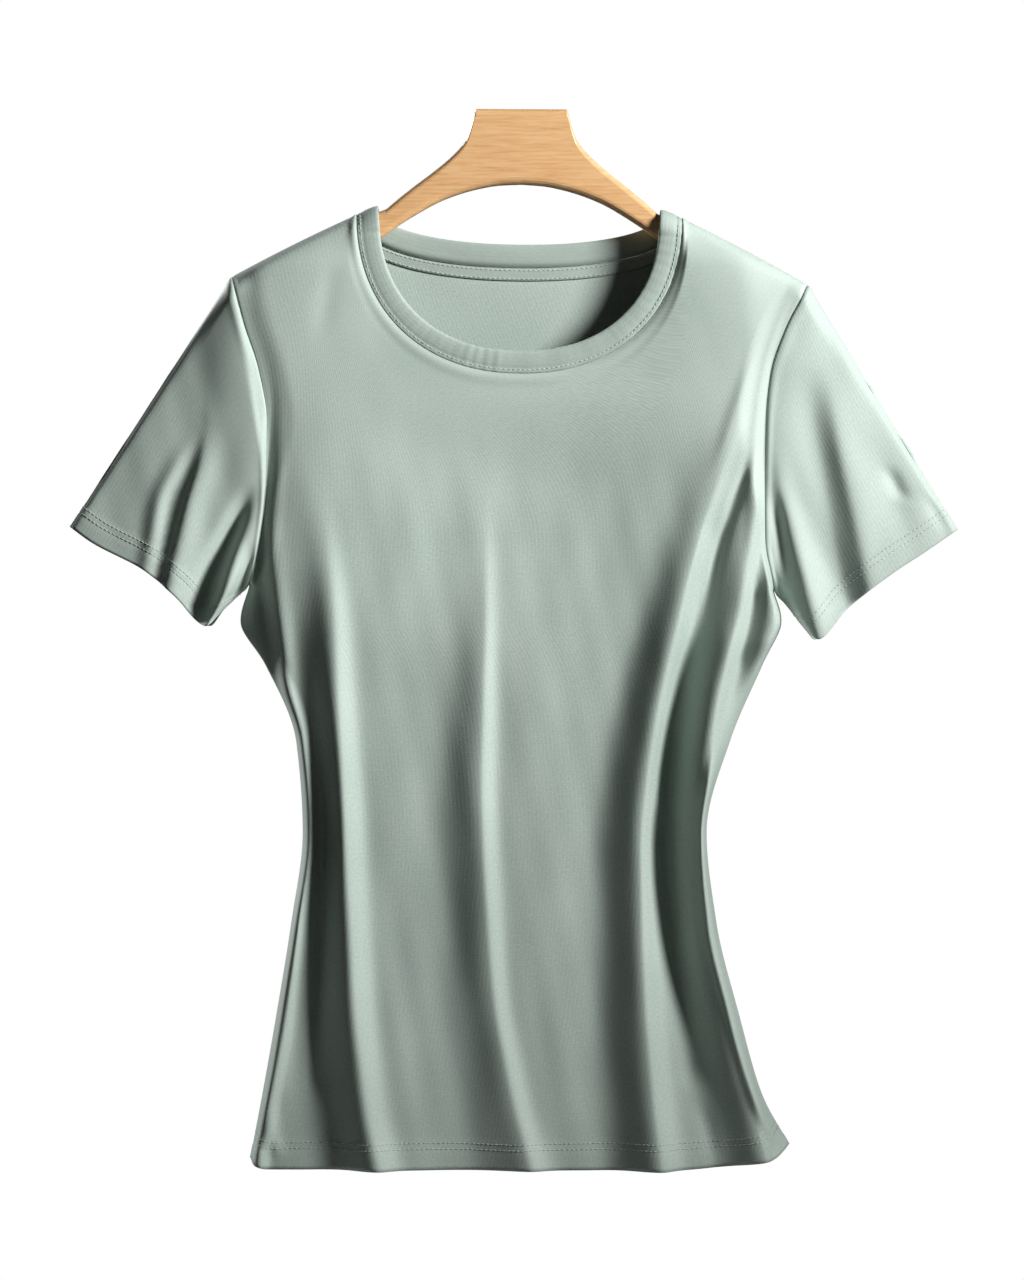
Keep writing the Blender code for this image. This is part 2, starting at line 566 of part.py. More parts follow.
def hanger_ring(x, top, bottom):
    """A rounded rectangle across the hanger, from its top front corner round to its top back corner."""
    radius = min(HANGER_EDGE_RADIUS, (top - bottom) / 2 - EDGE_LAND)
    flat = HANGER_HALF_THICKNESS - radius
    centres = ((-flat, top - radius, 90), (-flat, bottom + radius, 180),
               (flat, bottom + radius, 270), (flat, top - radius, 0))
    ring = []
    for y, z, start in centres:
        for step in range(CORNER_STEPS + 1):
            turn = math.radians(start + 90 * step / CORNER_STEPS)
            ring.append((x, y + radius * math.cos(turn), z + radius * math.sin(turn)))
    return ring


def wall_rings(outer, inner):
    """Cross-sections of a wall, one for each column of its points."""
    return np.concatenate([outer, inner[::-1]], axis=0).transpose(1, 0, 2)


def skin(name, rings, closed, material):
    """A closed solid through cross-sections with an even number of points each."""
    count, size, _ = rings.shape
    mesh = bpy.data.meshes.new(name)
    work = bmesh.new()
    verts = [[work.verts.new(point * MM) for point in ring] for ring in rings]
    for i in range(count if closed else count - 1):
        a, b = verts[i], verts[(i + 1) % count]
        for j in range(size):
            k = (j + 1) % size
            work.faces.new((a[j], a[k], b[k], b[j]))
    if not closed:
        for ring in (verts[0], verts[-1]):
            for j in range(size // 2 - 1):
                work.faces.new((ring[j], ring[j + 1], ring[size - 2 - j], ring[size - 1 - j]))
    bmesh.ops.recalc_face_normals(work, faces=work.faces)
    work.to_mesh(mesh)
    work.free()
    mesh.shade_smooth()
    mesh.set_sharp_from_angle(angle=math.radians(SHARP_ANGLE))
    mesh.materials.append(material)
    obj = bpy.data.objects.new(name, mesh)
    bpy.context.scene.collection.objects.link(obj)
    return obj


def material(name, colour, roughness):
    made = bpy.data.materials.new(name)
    made.use_nodes = True
    shader = made.node_tree.nodes["Principled BSDF"]
    shader.inputs["Base Color"].default_value = colour
    shader.inputs["Roughness"].default_value = roughness
    shader.inputs["Metallic"].default_value = 0.0
    return made


def main():
    for obj in list(bpy.data.objects):
        bpy.data.objects.remove(obj)
    jersey = material("cotton jersey", JERSEY_COLOUR, 0.75)
    double_jersey = material("double jersey", DOUBLE_JERSEY_COLOUR, 0.75)
    tape = material("cotton tape", TAPE_COLOUR, 0.8)
    wood = material("varnished wood", WOOD_COLOUR, 0.45)
    skin("front", wall_rings(*panel_wall(FRONT)), False, jersey)
    skin("back", wall_rings(*panel_wall(BACK)), False, jersey)
    left = sleeve_wall(-1, LEFT_SLEEVE_FRONT, SLEEVE_BACK, LEFT_CUFF)
    skin("sleeve_left", wall_rings(*left), True, jersey)
    right = sleeve_wall(1, RIGHT_SLEEVE_FRONT, SLEEVE_BACK, RIGHT_CUFF)
    skin("sleeve_right", wall_rings(*right), True, jersey)
    skin("neckband", neckband_rings(), True, double_jersey)
    skin("neck_tape", wall_rings(*neck_tape_wall()), False, tape)
    skin("hanger", hanger_rings(), False, wood)


main()
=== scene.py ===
"""Looks of a short-sleeved jersey t-shirt on a wooden hanger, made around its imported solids.

The tables are in millimetres, as the pattern and the folds were measured: x to the right, z up from the top of
the hanger's neck, depth away from the shirt's middle plane. Each cloth piece is a thin shell on its solid's
form, with its smaller creases, hems and stitches added.
"""

import math
from collections import namedtuple

import bpy
import numpy as np
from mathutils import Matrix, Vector


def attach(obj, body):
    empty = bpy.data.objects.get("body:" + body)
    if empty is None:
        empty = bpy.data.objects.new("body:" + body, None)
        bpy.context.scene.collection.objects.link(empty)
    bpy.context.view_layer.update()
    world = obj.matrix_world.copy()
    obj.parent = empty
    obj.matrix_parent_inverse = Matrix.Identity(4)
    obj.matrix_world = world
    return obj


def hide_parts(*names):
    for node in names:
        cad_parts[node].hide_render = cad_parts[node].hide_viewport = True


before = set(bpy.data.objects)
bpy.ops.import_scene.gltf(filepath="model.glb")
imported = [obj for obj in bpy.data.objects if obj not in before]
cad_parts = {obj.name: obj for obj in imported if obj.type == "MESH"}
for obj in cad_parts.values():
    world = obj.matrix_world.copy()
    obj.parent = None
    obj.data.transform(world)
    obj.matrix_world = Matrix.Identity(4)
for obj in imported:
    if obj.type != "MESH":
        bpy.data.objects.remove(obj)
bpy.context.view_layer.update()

MM = 0.001

# Thicknesses, and the tape's gap to the cloth behind it
CLOTH = 0.8
TAPE_WALL = 0.7
TAPE_OFF_CLOTH = 0.15

# Shoulder line of the shirt, which falls from the neck to the tips and leans a little to one side
NECK_REACH = 97.0
NECK_TOP = -66.2
SHOULDER_SLOPE = 0.45
SHOULDER_CURVE = 0.0006
LEAN = -0.018
ROLL_HEIGHT = 14.0
SHOULDER_DEPTH = 12.0

# Neck seam, a wide U in front and a shallow one behind
NECK_MIDDLE = -1.5
NECK_HALF_WIDTH = 108.0
FRONT_NECK_DROP = 105.0
BACK_NECK_DROP = 33.0
NECK_POWER = 2.2
NECK_END_CROWDING = 0.12
NECK_SPREAD = 20.0
NECK_SPREAD_FALL = 2
SWING_PEAK = 4 / 27  # the highest value of s * s * (1 - s)
NECK_SAMPLES = 400
TAPE_WIDTH = 8.0
TAPE_BELOW_SEAM = 0.8
TAPE_SEARCH_SHARE = 0.9
TAPE_SEARCH_ROWS = 21

# Armhole seam: share of the way from the underarm to the shoulder tip, and its place on each side
ArmholePoint = namedtuple("ArmholePoint", "share left_x left_z right_x right_z")
ARMHOLE = tuple(ArmholePoint(*row) for row in (
    (0, -181, -316, 168, -320),
    (0.2, -173, -281, 161.5, -284),
    (0.4, -169, -240, 161.3, -240),
    (0.55, -168.6, -207, 162, -205),
    (0.7, -174, -174, 165, -176),
    (0.85, -184, -143, 175, -146),
    (1, -192.5, -111.2, 190.5, -116.6),
))
ARMHOLE_DEPTH = 12.0
ARMHOLE_PULL_FALL = 1.2
UNDERARM_ROUNDING = 0.16
ARMHOLE_ROWS = (0, 0.03, 0.08, 0.16, 0.28, 0.4, 0.52, 0.64, 0.75, 0.85, 0.92, 0.96, 0.985, 1)
TIP_NORMAL = (0.6, 0.8)
UNDERARM_NORMAL = (0.25, -0.97)

# Heights of the body's sections from the hem up, and of three more on the chest, for depth alone
HEM = -702.0
LEVELS = (HEM, -655.0, -600.0, -540.0, -480.0, -420.0, -370.0, -340.0, -318.0)
CHEST_LEVELS = (-255.0, -190.0, -130.0)
BODY_ROWS = 12

# A guide is the run of one fold's crest or trough from the hem up: its x and hem height, its depth at each
# level, and the number of columns between it and the next guide.
Guide = namedtuple("Guide", "name columns hem x depth")
LEFT_SEAM = (-180.5, -172.7, -163.0, -153.3, -145.7, -150.0, -170.0, -187.0, ARMHOLE[0].left_x)
RIGHT_SEAM = (178.0, 160.5, 144.5, 129.8, 123.3, 138.7, 160.0, 173.0, ARMHOLE[0].right_x)
FLAT = (0.0,) * (len(LEVELS) + len(CHEST_LEVELS))
FRONT_GUIDES = tuple(Guide(*row) for row in (
    ("left seam", 2, -696, LEFT_SEAM, FLAT),
    ("left recess", 2, -700, (-174, -166, -157, -149, -142.5, -147, -163, -171.5, -177),
     (17, 17, 16, 15, 14, 14, 9, 8.5, 8, 11, 12, 12)),
    ("left strip", 3, -702, (-164, -157.5, -150, -143.6, -137.7, -141.3, -149.3, -154.5, -158),
     (28, 27, 26, 25, 24, 25, 25, 24, 23, 17, 13.5, 12)),
    ("left groove", 3, -702, (-107, -114, -121, -124, -125.5, -129.7, -134, -136.5, -138),
     (10, 8, 7, 7, 8, 11, 15, 17.5, 19, 16, 13, 12)),
    ("left ridge", 4, -702, (-82, -90.5, -98.5, -104, -109, -112.7, -116, -118, -119.5),
     (35, 34, 32, 30, 28, 26, 24, 23, 22, 17, 13, 12)),
    ("left plain", 4, -702, (-54, -59.5, -65, -69, -72, -73, -72, -71.5, -71),
     (24, 23, 22, 21, 21, 21, 21, 20.5, 20, 17, 13.5, 12)),
    ("middle groove", 3, -702, (-9, -21.6, -28.5, -35, -39, -39, -36.6, -34.5, -33),
     (14, 13, 13, 13, 14, 15, 16, 17, 18, 16.5, 13.5, 12)),
    ("middle ridge", 4, -702, (13.6, 2, -8.3, -14, -18.8, -20.3, -18.6, -18.5, -18.3),
     (34, 32, 30, 28, 26, 25, 24, 22.5, 21.5, 17, 13.5, 12)),
    ("middle plain", 7, -702, (44, 35.6, 27.6, 24, 23, 23.6, 25.6, 27.5, 29),
     (23, 22, 21, 21, 21, 21, 21, 20.5, 20, 17, 13.5, 12)),
    ("right plain", 4, -702, (57, 51, 45, 45, 47, 50, 53, 57, 60),
     (21, 20, 19, 19, 20, 20, 20, 20, 20, 17, 13, 12)),
    ("right groove", 3, -702, (71.5, 68, 63, 65.5, 68.7, 72.4, 75, 80.5, 84),
     (12, 10, 9, 9, 10, 12, 14, 16, 17, 15, 12.5, 12)),
    ("right ridge", 3, -702, (102.4, 94.8, 86.5, 83.3, 82, 89, 98.4, 104.5, 108.5),
     (34, 33, 32, 32, 31, 29, 27, 26, 25, 19, 14.5, 12)),
    ("deep groove", 3, -698, (149, 131.3, 114.7, 102.6, 101.6, 105.3, 113.4, 117.5, 120),
     (9, 7, 6, 6, 6, 9, 13, 15.5, 17, 14, 12, 12)),
    ("right strip", 2, -695, (166, 153, 135, 119.6, 116.5, 127.3, 135.7, 141, 144.5),
     (26, 25, 24, 24, 25, 26, 26, 25, 24, 18, 14, 12)),
    ("right flank", 2, -691, (172.5, 157.5, 141, 125.8, 120.9, 134.5, 150, 157, 162),
     (14, 13, 13, 13, 13, 13, 12, 12, 12, 12, 12, 12)),
    ("right seam", 0, -687, RIGHT_SEAM, FLAT),
))
BACK_GUIDES = tuple(Guide(*row) for row in (
    ("left seam", 3, -696, LEFT_SEAM, FLAT),
    ("left ridge", 3, -700, (-150, -146, -140, -135, -130, -134, -148, -155, -160),
     (30, 29, 28, 27, 26, 25, 24, 23, 22, 17, 13, 12)),
    ("left groove", 3, -700, (-112, -112, -111, -110, -108, -110, -114, -119, -122),
     (12, 11, 11, 11, 11, 13, 15, 17, 18, 15.5, 12.5, 12)),
    ("inner ridge", 3, -701, (-78, -80, -82, -83, -84, -84, -85, -87, -88),
     (32, 31, 30, 28, 27, 25, 23, 22, 21, 17, 13, 12)),
    ("left plain", 3, -701, (-45, -46, -47, -48, -48, -48, -48, -48, -48),
     (22, 22, 21, 21, 21, 20.5, 20, 19.5, 19, 17, 13, 12)),
    ("middle groove", 3, -701, (-12, -10, -8, -8, -8, -8, -8, -8, -8),
     (13, 12, 12, 13, 14, 15, 17, 18, 18.5, 16.5, 13, 12)),
    ("middle ridge", 3, -701, (20, 20, 19, 18, 17, 16, 15, 15, 15),
     (33, 32, 30, 28, 26, 24, 22, 21, 20, 17, 13, 12)),
    ("right plain", 3, -700, (52, 50, 48, 46, 45, 46, 50, 52.5, 54),
     (21, 21, 20, 20, 20, 20, 20, 19.5, 19, 17, 13, 12)),
    ("right groove", 3, -698, (84, 80, 76, 72, 70, 74, 80, 85, 88),
     (11, 10, 10, 10, 10, 12, 15, 17, 18, 15.5, 12.5, 12)),
    ("right ridge", 3, -695, (120, 112, 104, 96, 92, 98, 108, 115, 120),
     (32, 31, 30, 29, 28, 27, 25, 24, 23, 18, 13.5, 12)),
    ("right flank", 3, -691, (155, 141, 126, 113, 108, 119, 136, 144.5, 150),
     (20, 19, 18, 18, 18, 18, 18, 17.5, 17, 15, 12.5, 12)),
    ("right seam", 0, -687, RIGHT_SEAM, FLAT),
))

# Which guides end at the neck points, where those beyond them end on the shoulders, as x, and where those
# between them end on the neck seam, as shares of its length
Panel = namedtuple("Panel", "facing guides neck_drop neck_left neck_right left_tops right_tops shares")
FRONT = Panel(-1, FRONT_GUIDES, FRONT_NECK_DROP, 3, 9, (-176.0, -150.0),
              (158.0, 167.0, 175.0, 182.0, 187.0), (0.0, 0.14, 0.29, 0.43, 0.48, 0.66, 1.0))
BACK = Panel(1, BACK_GUIDES, BACK_NECK_DROP, 2, 9, (-151.0,), (149.0,),
             (0.0, 0.14, 0.29, 0.43, 0.57, 0.71, 0.86, 1.0))

# Sleeve folds: place on the armhole and on the cuff as shares from the underside to the top crease, and
# depth at one third, two thirds and the whole of the way to the cuff.
SleeveFold = namedtuple("SleeveFold", "name armhole cuff depth")


def sleeve_folds(*rows):
    """Folds of a sleeve between the edges that all of them share."""
    edges = ("underside", 0, 0, (0, 0, 0)), ("top flank", 0.94, 0.94, (8, 8, 7)), ("top crease", 1, 1, (0, 0, 0))
    return [SleeveFold(*row) for row in (edges[0], *rows, *edges[1:])]


LEFT_SLEEVE_FRONT = sleeve_folds(
    ("inner ridge", 0.2, 0.1, (15, 20, 21)),
    ("inner groove", 0.34, 0.2, (12, 8, 6)),
    ("outer ridge", 0.48, 0.32, (15, 19, 20)),
    ("outer groove", 0.62, 0.57, (12, 9, 8)),
    ("plain", 0.8, 0.78, (13, 14, 13)),
)
RIGHT_SLEEVE_FRONT = sleeve_folds(
    ("small groove", 0.16, 0.07, (10, 12, 13)),
    ("inner ridge", 0.3, 0.17, (14, 19, 20)),
    ("groove", 0.45, 0.3, (10, 7, 6)),
    ("outer ridge", 0.6, 0.45, (14, 17, 18)),
    ("plain", 0.8, 0.76, (13, 13, 12)),
)
SLEEVE_BACK = sleeve_folds(
    ("inner ridge", 0.24, 0.16, (15, 18, 19)),
    ("groove", 0.44, 0.38, (11, 8, 7)),
    ("outer ridge", 0.64, 0.6, (14, 16, 16)),
    ("plain", 0.82, 0.82, (12, 12, 11)),
)

# Cuff edge from the underside to the top crease: share of its length, x and z
CuffPoint = namedtuple("CuffPoint", "share x z")
LEFT_CUFF = tuple(CuffPoint(*row) for row in (
    (0, -199, -333),
    (0.11, -208.7, -343),
    (0.33, -229.8, -323),
    (0.54, -249.7, -306.6),
    (0.86, -285, -288),
    (1, -300, -277.3),
))
RIGHT_CUFF = tuple(CuffPoint(*row) for row in (
    (0, 190, -347),
    (0.1, 196.5, -352),
    (0.28, 216.5, -331),
    (0.56, 245, -309),
    (0.79, 268, -294),
    (1, 289.6, -279.3),
))

# A crease is a soft ridge (rise above 0) or trough (below 0) of the cloth along a route of x and z that runs up
# from the hem or the cuff. Its two widths are to the left and the right of the route and grow by the share spread
# towards the route's start; start and end are the shares of its rise that are left at the route's two ends.
Crease = namedtuple("Crease", "name rise left right spread start end route")
FRONT_CREASES = tuple(Crease(*row) for row in (
    ("left ridge", 15.5, 13, 8.5, 0.4, 1, 0,
     ((-96, -702), (-104, -665), (-108, -632), (-112, -592), (-114, -545), (-117, -492), (-119, -446),
      (-122, -392), (-125, -339), (-130, -286), (-134, -240))),
    ("left groove", -11, 5, 8, 0, 0.2, 0,
     ((-136, -640), (-134, -590), (-132, -530), (-131, -480), (-133, -430), (-138, -350))),
    ("middle ridge", 9.5, 17, 6.5, 0.6, 1, 0,
     ((5, -702), (-5, -665), (-12, -632), (-19, -592), (-23, -545), (-26, -492), (-27, -446), (-26, -392),
      (-25, -339), (-25, -286), (-25, -232))),
    ("right ridge", 15, 15, 6, 0.5, 1, 0,
     ((92, -702), (87, -665), (84, -632), (81, -592), (79, -545), (78, -492), (82, -446), (91, -392),
      (102, -345), (112, -302), (121, -270), (138, -222), (158, -172))),
    ("outer ridge", 17, 13, 6, 0.5, 1, 0.2,
     ((162, -702), (153, -665), (143, -632), (134, -592), (126, -545), (121, -492), (122, -446), (129, -392),
      (136, -359), (143, -332), (149, -293), (159, -244))),
    ("upper groove", -3.5, 4, 4, 0, 0, 0, ((119, -359), (129, -299), (146, -246), (155, -215))),
    ("deep groove", -16, 8, 10, 0, 0.2, 0.1,
     ((114, -632), (108, -592), (100, -545), (96, -492), (98, -446), (105, -392), (116, -339), (127, -286))),
    ("left strip", 11, 5, 8, 0.2, 1, 0.2,
     ((-176, -702), (-170, -665), (-163, -632), (-158, -592), (-153, -545), (-151, -492), (-151, -446),
      (-155, -392), (-161, -339), (-166, -286))),
    ("left hem step", -2.2, 4, 5, 0, 0.6, 0, ((-168, -702), (-163, -665), (-158, -632), (-153, -600))),
    ("left plain trough", -0.8, 9, 10, 0, 1, 0, ((-60, -702), (-72, -620), (-84, -520), (-90, -430))),
    ("middle plain swell", 1, 18, 16, 0, 1, 0, ((48, -702), (38, -640), (28, -560), (26, -470))),
    ("middle plain trough", -0.7, 9, 9, 0, 1, 0, ((26, -702), (18, -650), (8, -580), (4, -500))),
    ("hem corner crimp", 1.8, 3, 4, 0, 0.2, 0, ((-158, -698), (-164, -678), (-162, -655))),
    ("hem corner dent", -1.6, 4, 3, 0, 0.3, 0, ((-166, -698), (-171, -682), (-168, -662))),
    ("right hem crimp", -1.6, 5, 4, 0, 0.6, 0, ((128, -700), (124, -676), (117, -650))),
    ("right chest drag", 1.6, 5, 8, 0, 0, 0, ((126, -250), (142, -200), (160, -150))),
    ("left chest swell", 3, 20, 66, 0, 0.2, 1, ((-164, -300), (-172, -230), (-173, -150), (-166, -108))),
    ("chest hollow", -6, 95, 90, 0, 0, 0, ((0, -360), (6, -290), (12, -235), (16, -190))),
    ("right chest swell", 5, 70, 24, 0, 0, 1, ((150, -290), (152, -215), (148, -150), (142, -104))),
    ("left flank groove", -6, 6, 5, 0, 0, 0.6, ((-160, -400), (-166, -352), (-172, -312), (-174, -276))),
    ("right flank hollow", -4, 5, 7, 0, 0, 0, ((136, -410), (146, -365), (153, -335), (158, -290), (161, -256))),
    ("right flank roll", 24, 20, 4, 0, 0, 0.5, ((152, -420), (163, -365), (171, -335), (177, -300), (178, -262))),
    ("left shoulder dent", -0.7, 7, 8, 0, 0, 0, ((-134, -160), (-128, -124), (-124, -96))),
))
BACK_CREASES = tuple(Crease(*row) for row in (
    ("left ridge", 8.5, 6, 13, 0.5, 1, 0, ((-138, -702), (-131, -600), (-123, -490), (-136, -385), (-150, -290))),
    ("inner ridge", 9, 6.5, 16, 0.5, 1, 0, ((-66, -702), (-72, -600), (-75, -480), (-78, -380), (-84, -250))),
    ("middle ridge", 8, 6, 14, 0.6, 1, 0, ((30, -702), (26, -600), (23, -480), (22, -380), (18, -230))),
    ("right ridge", 9.5, 7, 15, 0.5, 1, 0, ((128, -700), (112, -600), (100, -480), (114, -380), (126, -250))),
    ("left groove", -2.6, 6, 7, 0, 0.2, 0, ((-112, -660), (-110, -580), (-108, -480), (-114, -385), (-124, -310))),
    ("right groove", -2.4, 5, 7, 0, 0.2, 0, ((140, -660), (124, -580), (114, -480), (127, -385), (138, -310))),
    ("left plain swell", 1.1, 12, 12, 0, 1, 0, ((-40, -702), (-43, -620), (-47, -520), (-48, -420))),
    ("right plain trough", -1, 9, 9, 0, 1, 0, ((64, -702), (58, -620), (52, -530), (50, -430))),
    ("left blade drag", 2, 9, 12, 0, 0, 0, ((-112, -276), (-132, -214), (-158, -166))),
    ("right blade drag", 2.2, 9, 12, 0, 0, 0, ((110, -268), (132, -206), (156, -158))),
    ("nape swell", 0.7, 14, 14, 0, 0, 0, ((-70, -142), (0, -150), (68, -143))),
))
LEFT_SLEEVE_CREASES = tuple(Crease(*row) for row in (
    ("strip", 3.2, 6, 4.5, 0, 1, 0, ((-248, -308), (-244, -285), (-239, -259), (-228, -235), (-216, -212))),
    ("lobe", 5.5, 4, 10, 0, 1, 0.1, ((-234, -320), (-227, -290), (-220, -262), (-212, -236), (-206, -210))),
    ("recess", -12, 5, 5, 1, 1, 0, ((-211, -330), (-206, -312), (-196, -290), (-187, -270), (-178, -246))),
    ("tongue", 4, 3.5, 5, 0, 1, 0, ((-207, -343), (-198, -318), (-189, -292), (-181, -270))),
    ("under fold", -4, 3, 4, 0, 1, 0, ((-192, -338), (-184, -310), (-178, -284))),
    ("seam roll", 4, 22, 4.5, 0, 0, 0.3, ((-173, -268), (-173, -240), (-178, -200), (-185, -160), (-190, -134))),
))
RIGHT_SLEEVE_CREASES = tuple(Crease(*row) for row in (
    ("inner ridge", 3.6, 5, 8, 0, 1, 0, ((196, -350), (187, -312), (179, -282), (172, -250), (169, -216))),
    ("groove", -4.2, 14, 9, 0, 1, 0, ((214, -324), (206, -286), (199, -246), (192, -200), (189, -166))),
    ("outer ridge", 2.8, 6, 14, 0, 1, 0, ((231, -318), (221, -270), (211, -222), (203, -170))),
    ("seam hollow", -3, 4, 4, 0, 0.3, 0, ((176, -318), (171, -280), (167, -250))),
    ("upper trough", -1.3, 12, 9, 0, 0.5, 0, ((262, -298), (244, -252), (224, -206))),
    ("upper dimple", -2.2, 5, 5, 0, 0, 0, ((254, -262), (248, -249), (242, -234))),
    ("cuff dimple", -1.4, 5, 5, 0, 0.6, 0, ((283, -282), (276, -268), (270, -254))),
))
SLEEVE_BACK_CREASES = tuple(Crease(*row) for row in (
    ("groove", -4, 8, 6, 0, 1, 0, ((226, -322), (206, -256), (188, -196))),
    ("inner ridge", 3.4, 5, 7, 0, 1, 0, ((208, -340), (194, -290), (180, -232))),
    ("outer ridge", 3, 6, 9, 0, 1, 0, ((250, -306), (226, -240), (200, -174))),
    ("elbow dent", -1, 7, 7, 0, 0.5, 0, ((268, -286), (242, -216), (216, -164))),
))
ROUTE_SAMPLES = 60
CREASE_BEGIN = 0.35
CREASE_FINISH = 0.45
EDGE_CALM = 14.0
SIDE_CALM = 4.5
ARMHOLE_CALM = 20.0
SLEEVE_EDGE_CALM = 5.0

# The panels' form is evened out by this many passes, less near the side seams, and the creases are laid on it
EVEN_PASSES = 110
EVEN_SIDE = 34.0
EVEN_ARMHOLE = 12.0
EVEN_SHOULDER = 45.0
EVEN_EDGE = 15.0
EVEN_SEAM = 14.0
RASTER = 3.0

# Above the chest the swells fade by this share
YOKE_CALM = 0.85
YOKE_FROM = -280.0
YOKE_BLEND = 80.0

# Slow uneven swells of hung cloth: height, wavelength across, wavelength down and phase
Swell = namedtuple("Swell", "height across down phase")
SWELLS = (
    Swell(0.22, 53.0, 210.0, 0.4),
    Swell(0.14, 37.0, -150.0, 2.1),
    Swell(0.07, 21.0, 93.0, 4.4),
)

# Finer steps than the solids have, as steps to each of theirs
PANEL_COLUMN_STEPS = 4
PANEL_BODY_ROWS = 130
ARMHOLE_STEPS = 7
SLEEVE_RING_STEPS = 8
SLEEVE_ROWS = 84
BAND_STEPS = 8

# A sleeve's depth at its outer fold and how fast it grows from there; both are reached at this share of its length
FOLD_EDGE = 3.2
FOLD_SLOPE = 0.2
FOLD_FROM = 0.3
FOLD_SOFTEN = 0.45

# Hems, turned up once and sewn with two needles
HEM_DEPTH = 20.0
CUFF_DEPTH = 18.0
HEM_RISE = 0.45
HEM_STEP = 1.6
NEEDLE_SPACING = 4.0
NEEDLES = (0.5, 1.5)
NEEDLE_DIP = 0.3
NEEDLE_DIP_WIDTH = 1.1
HEM_SIDE_CALM = 3.0
SEAM_FROM_HEM = 8.0
SEAM_DIP = 0.3
SEAM_DIP_WIDTH = 1.6
SEAM_ROLL = 0.7
SEAM_ROLL_WIDTH = 4.0

# Stitches, as long as real ones and drawn about twice as thick as real thread's 0.25 mm, so that they show
STITCH_LENGTH = 2.4
STITCH_PITCH = 3.2
STITCH_RADIUS = 0.3
STITCH_SIDES = 6
STITCH_LIFT = 0.12
STITCH_AHEAD = 0.5
STITCH_PROFILE = ((-0.5, 0.35), (-0.32, 0.9), (0.32, 0.9), (0.5, 0.35))  # place along it, and share of its radius
BAND_STITCH_IN = 2.6
TAPE_STITCH_IN = 1.2

# The neckband's section, as way out from its seam and height above the cloth, and its small puckers, as height,
# wavelength and phase. Its pattern's last step round the neck closes the ring.
BAND_PROFILE = (
    (0.0, -0.3), (1.0, 0.02), (2.1, 0.12), (3.1, -0.12), (4.4, 0.22), (7.0, 0.4), (10.0, 0.4), (12.6, 0.22),
    (14.2, -0.1), (15.1, -0.6), (15.3, -1.1), (14.9, -1.6), (13.6, -1.9), (9.0, -2.0), (4.0, -2.0), (0.1, -1.7),
)
PUCKERS = ((0.10, 7.3, 0), (0.08, 23.0, 1))
BAND_LAST_STEP = 2.0


def smooth(knots, values, at):
    """A curve through the values that never overshoots them, so that cloth never crosses itself."""
    knots = np.asarray(knots, float)
    values = np.asarray(values, float)
    at = np.clip(np.asarray(at, float), knots[0], knots[-1])
    tall = (-1,) + (1,) * (values.ndim - 1)
    widths = np.diff(knots).reshape(tall)
    slopes = np.diff(values, axis=0) / widths
    same_way = slopes[:-1] * slopes[1:] > 0
    total = np.where(same_way, slopes[:-1] + slopes[1:], 1)
    tangents = np.empty_like(values)
    tangents[1:-1] = np.where(same_way, 2 * slopes[:-1] * slopes[1:] / total, 0)
    tangents[0] = slopes[0]
    tangents[-1] = slopes[-1]
    before = np.clip(np.searchsorted(knots, at, side="right") - 1, 0, len(knots) - 2)
    width = widths[before]
    t = ((at - knots[before]) / np.diff(knots)[before]).reshape(tall)
    start = (1 + 2 * t) * (1 - t) ** 2 * values[before] + t * (1 - t) ** 2 * width * tangents[before]
    end = t * t * (3 - 2 * t) * values[before + 1] + t * t * (t - 1) * width * tangents[before + 1]
    return start + end


def unit(vectors):
    return vectors / np.linalg.norm(vectors, axis=-1, keepdims=True)


def quarter_round(share):
    """0 to 1 along a quarter circle as share goes from 0 to 1."""
    return np.sqrt(1 - (1 - np.clip(share, 0, 1)) ** 2)


def shoulder_line(x):
    """Height of the shirt's top edge."""
    out = np.abs(x) - NECK_REACH
    return NECK_TOP - SHOULDER_SLOPE * out - SHOULDER_CURVE * out * np.abs(out) + LEAN * x


def roll(x, z):
    """Share of full depth, which cloth that bends over the hanger reaches a little below its top edge."""
    return quarter_round((shoulder_line(x) - z) / ROLL_HEIGHT)


def neck_seam(drop, share):
    """x and z of the neck seam, by share of its length from the left neck point to the right one."""
    share = np.asarray(share, float)
    turn = np.linspace(0, math.pi, NECK_SAMPLES)
    x = NECK_MIDDLE - NECK_HALF_WIDTH * np.sign(np.cos(turn)) * np.abs(np.cos(turn)) ** (2 / NECK_POWER)
    ends = shoulder_line(x[[0, -1]])
    level = np.interp(x, x[[0, -1]], ends)
    z = level - drop * np.sin(turn) ** (2 / NECK_POWER)
    z[-1] = ends[1]
    length = np.concatenate([[0], np.cumsum(np.hypot(np.diff(x), np.diff(z)))])
    crowded = share - NECK_END_CROWDING * np.sin(2 * math.pi * share)
    return np.stack([np.interp(crowded * length[-1], length, v) for v in (x, z)], axis=-1)


def top_edge(panel, at):
    """x and z of a panel's top edge: shoulder, neck seam and shoulder."""
    last = len(panel.guides) - 1
    on_neck = np.arange(panel.neck_left, panel.neck_right + 1)
    points = neck_seam(panel.neck_drop, np.interp(at, on_neck, panel.shares))
    neck_ends = neck_seam(panel.neck_drop, (0, 1))[:, 0]
    left_tops = (ARMHOLE[-1].left_x, *panel.left_tops, neck_ends[0])
    left = at < panel.neck_left
    points[left, 0] = np.interp(at[left], np.arange(panel.neck_left + 1), left_tops)
    right_tops = (neck_ends[1], *panel.right_tops, ARMHOLE[-1].right_x)
    right = at > panel.neck_right
    points[right, 0] = np.interp(at[right], np.arange(panel.neck_right, last + 1), right_tops)
    on_shoulder = left | right
    points[on_shoulder, 1] = shoulder_line(points[on_shoulder, 0])
    return points


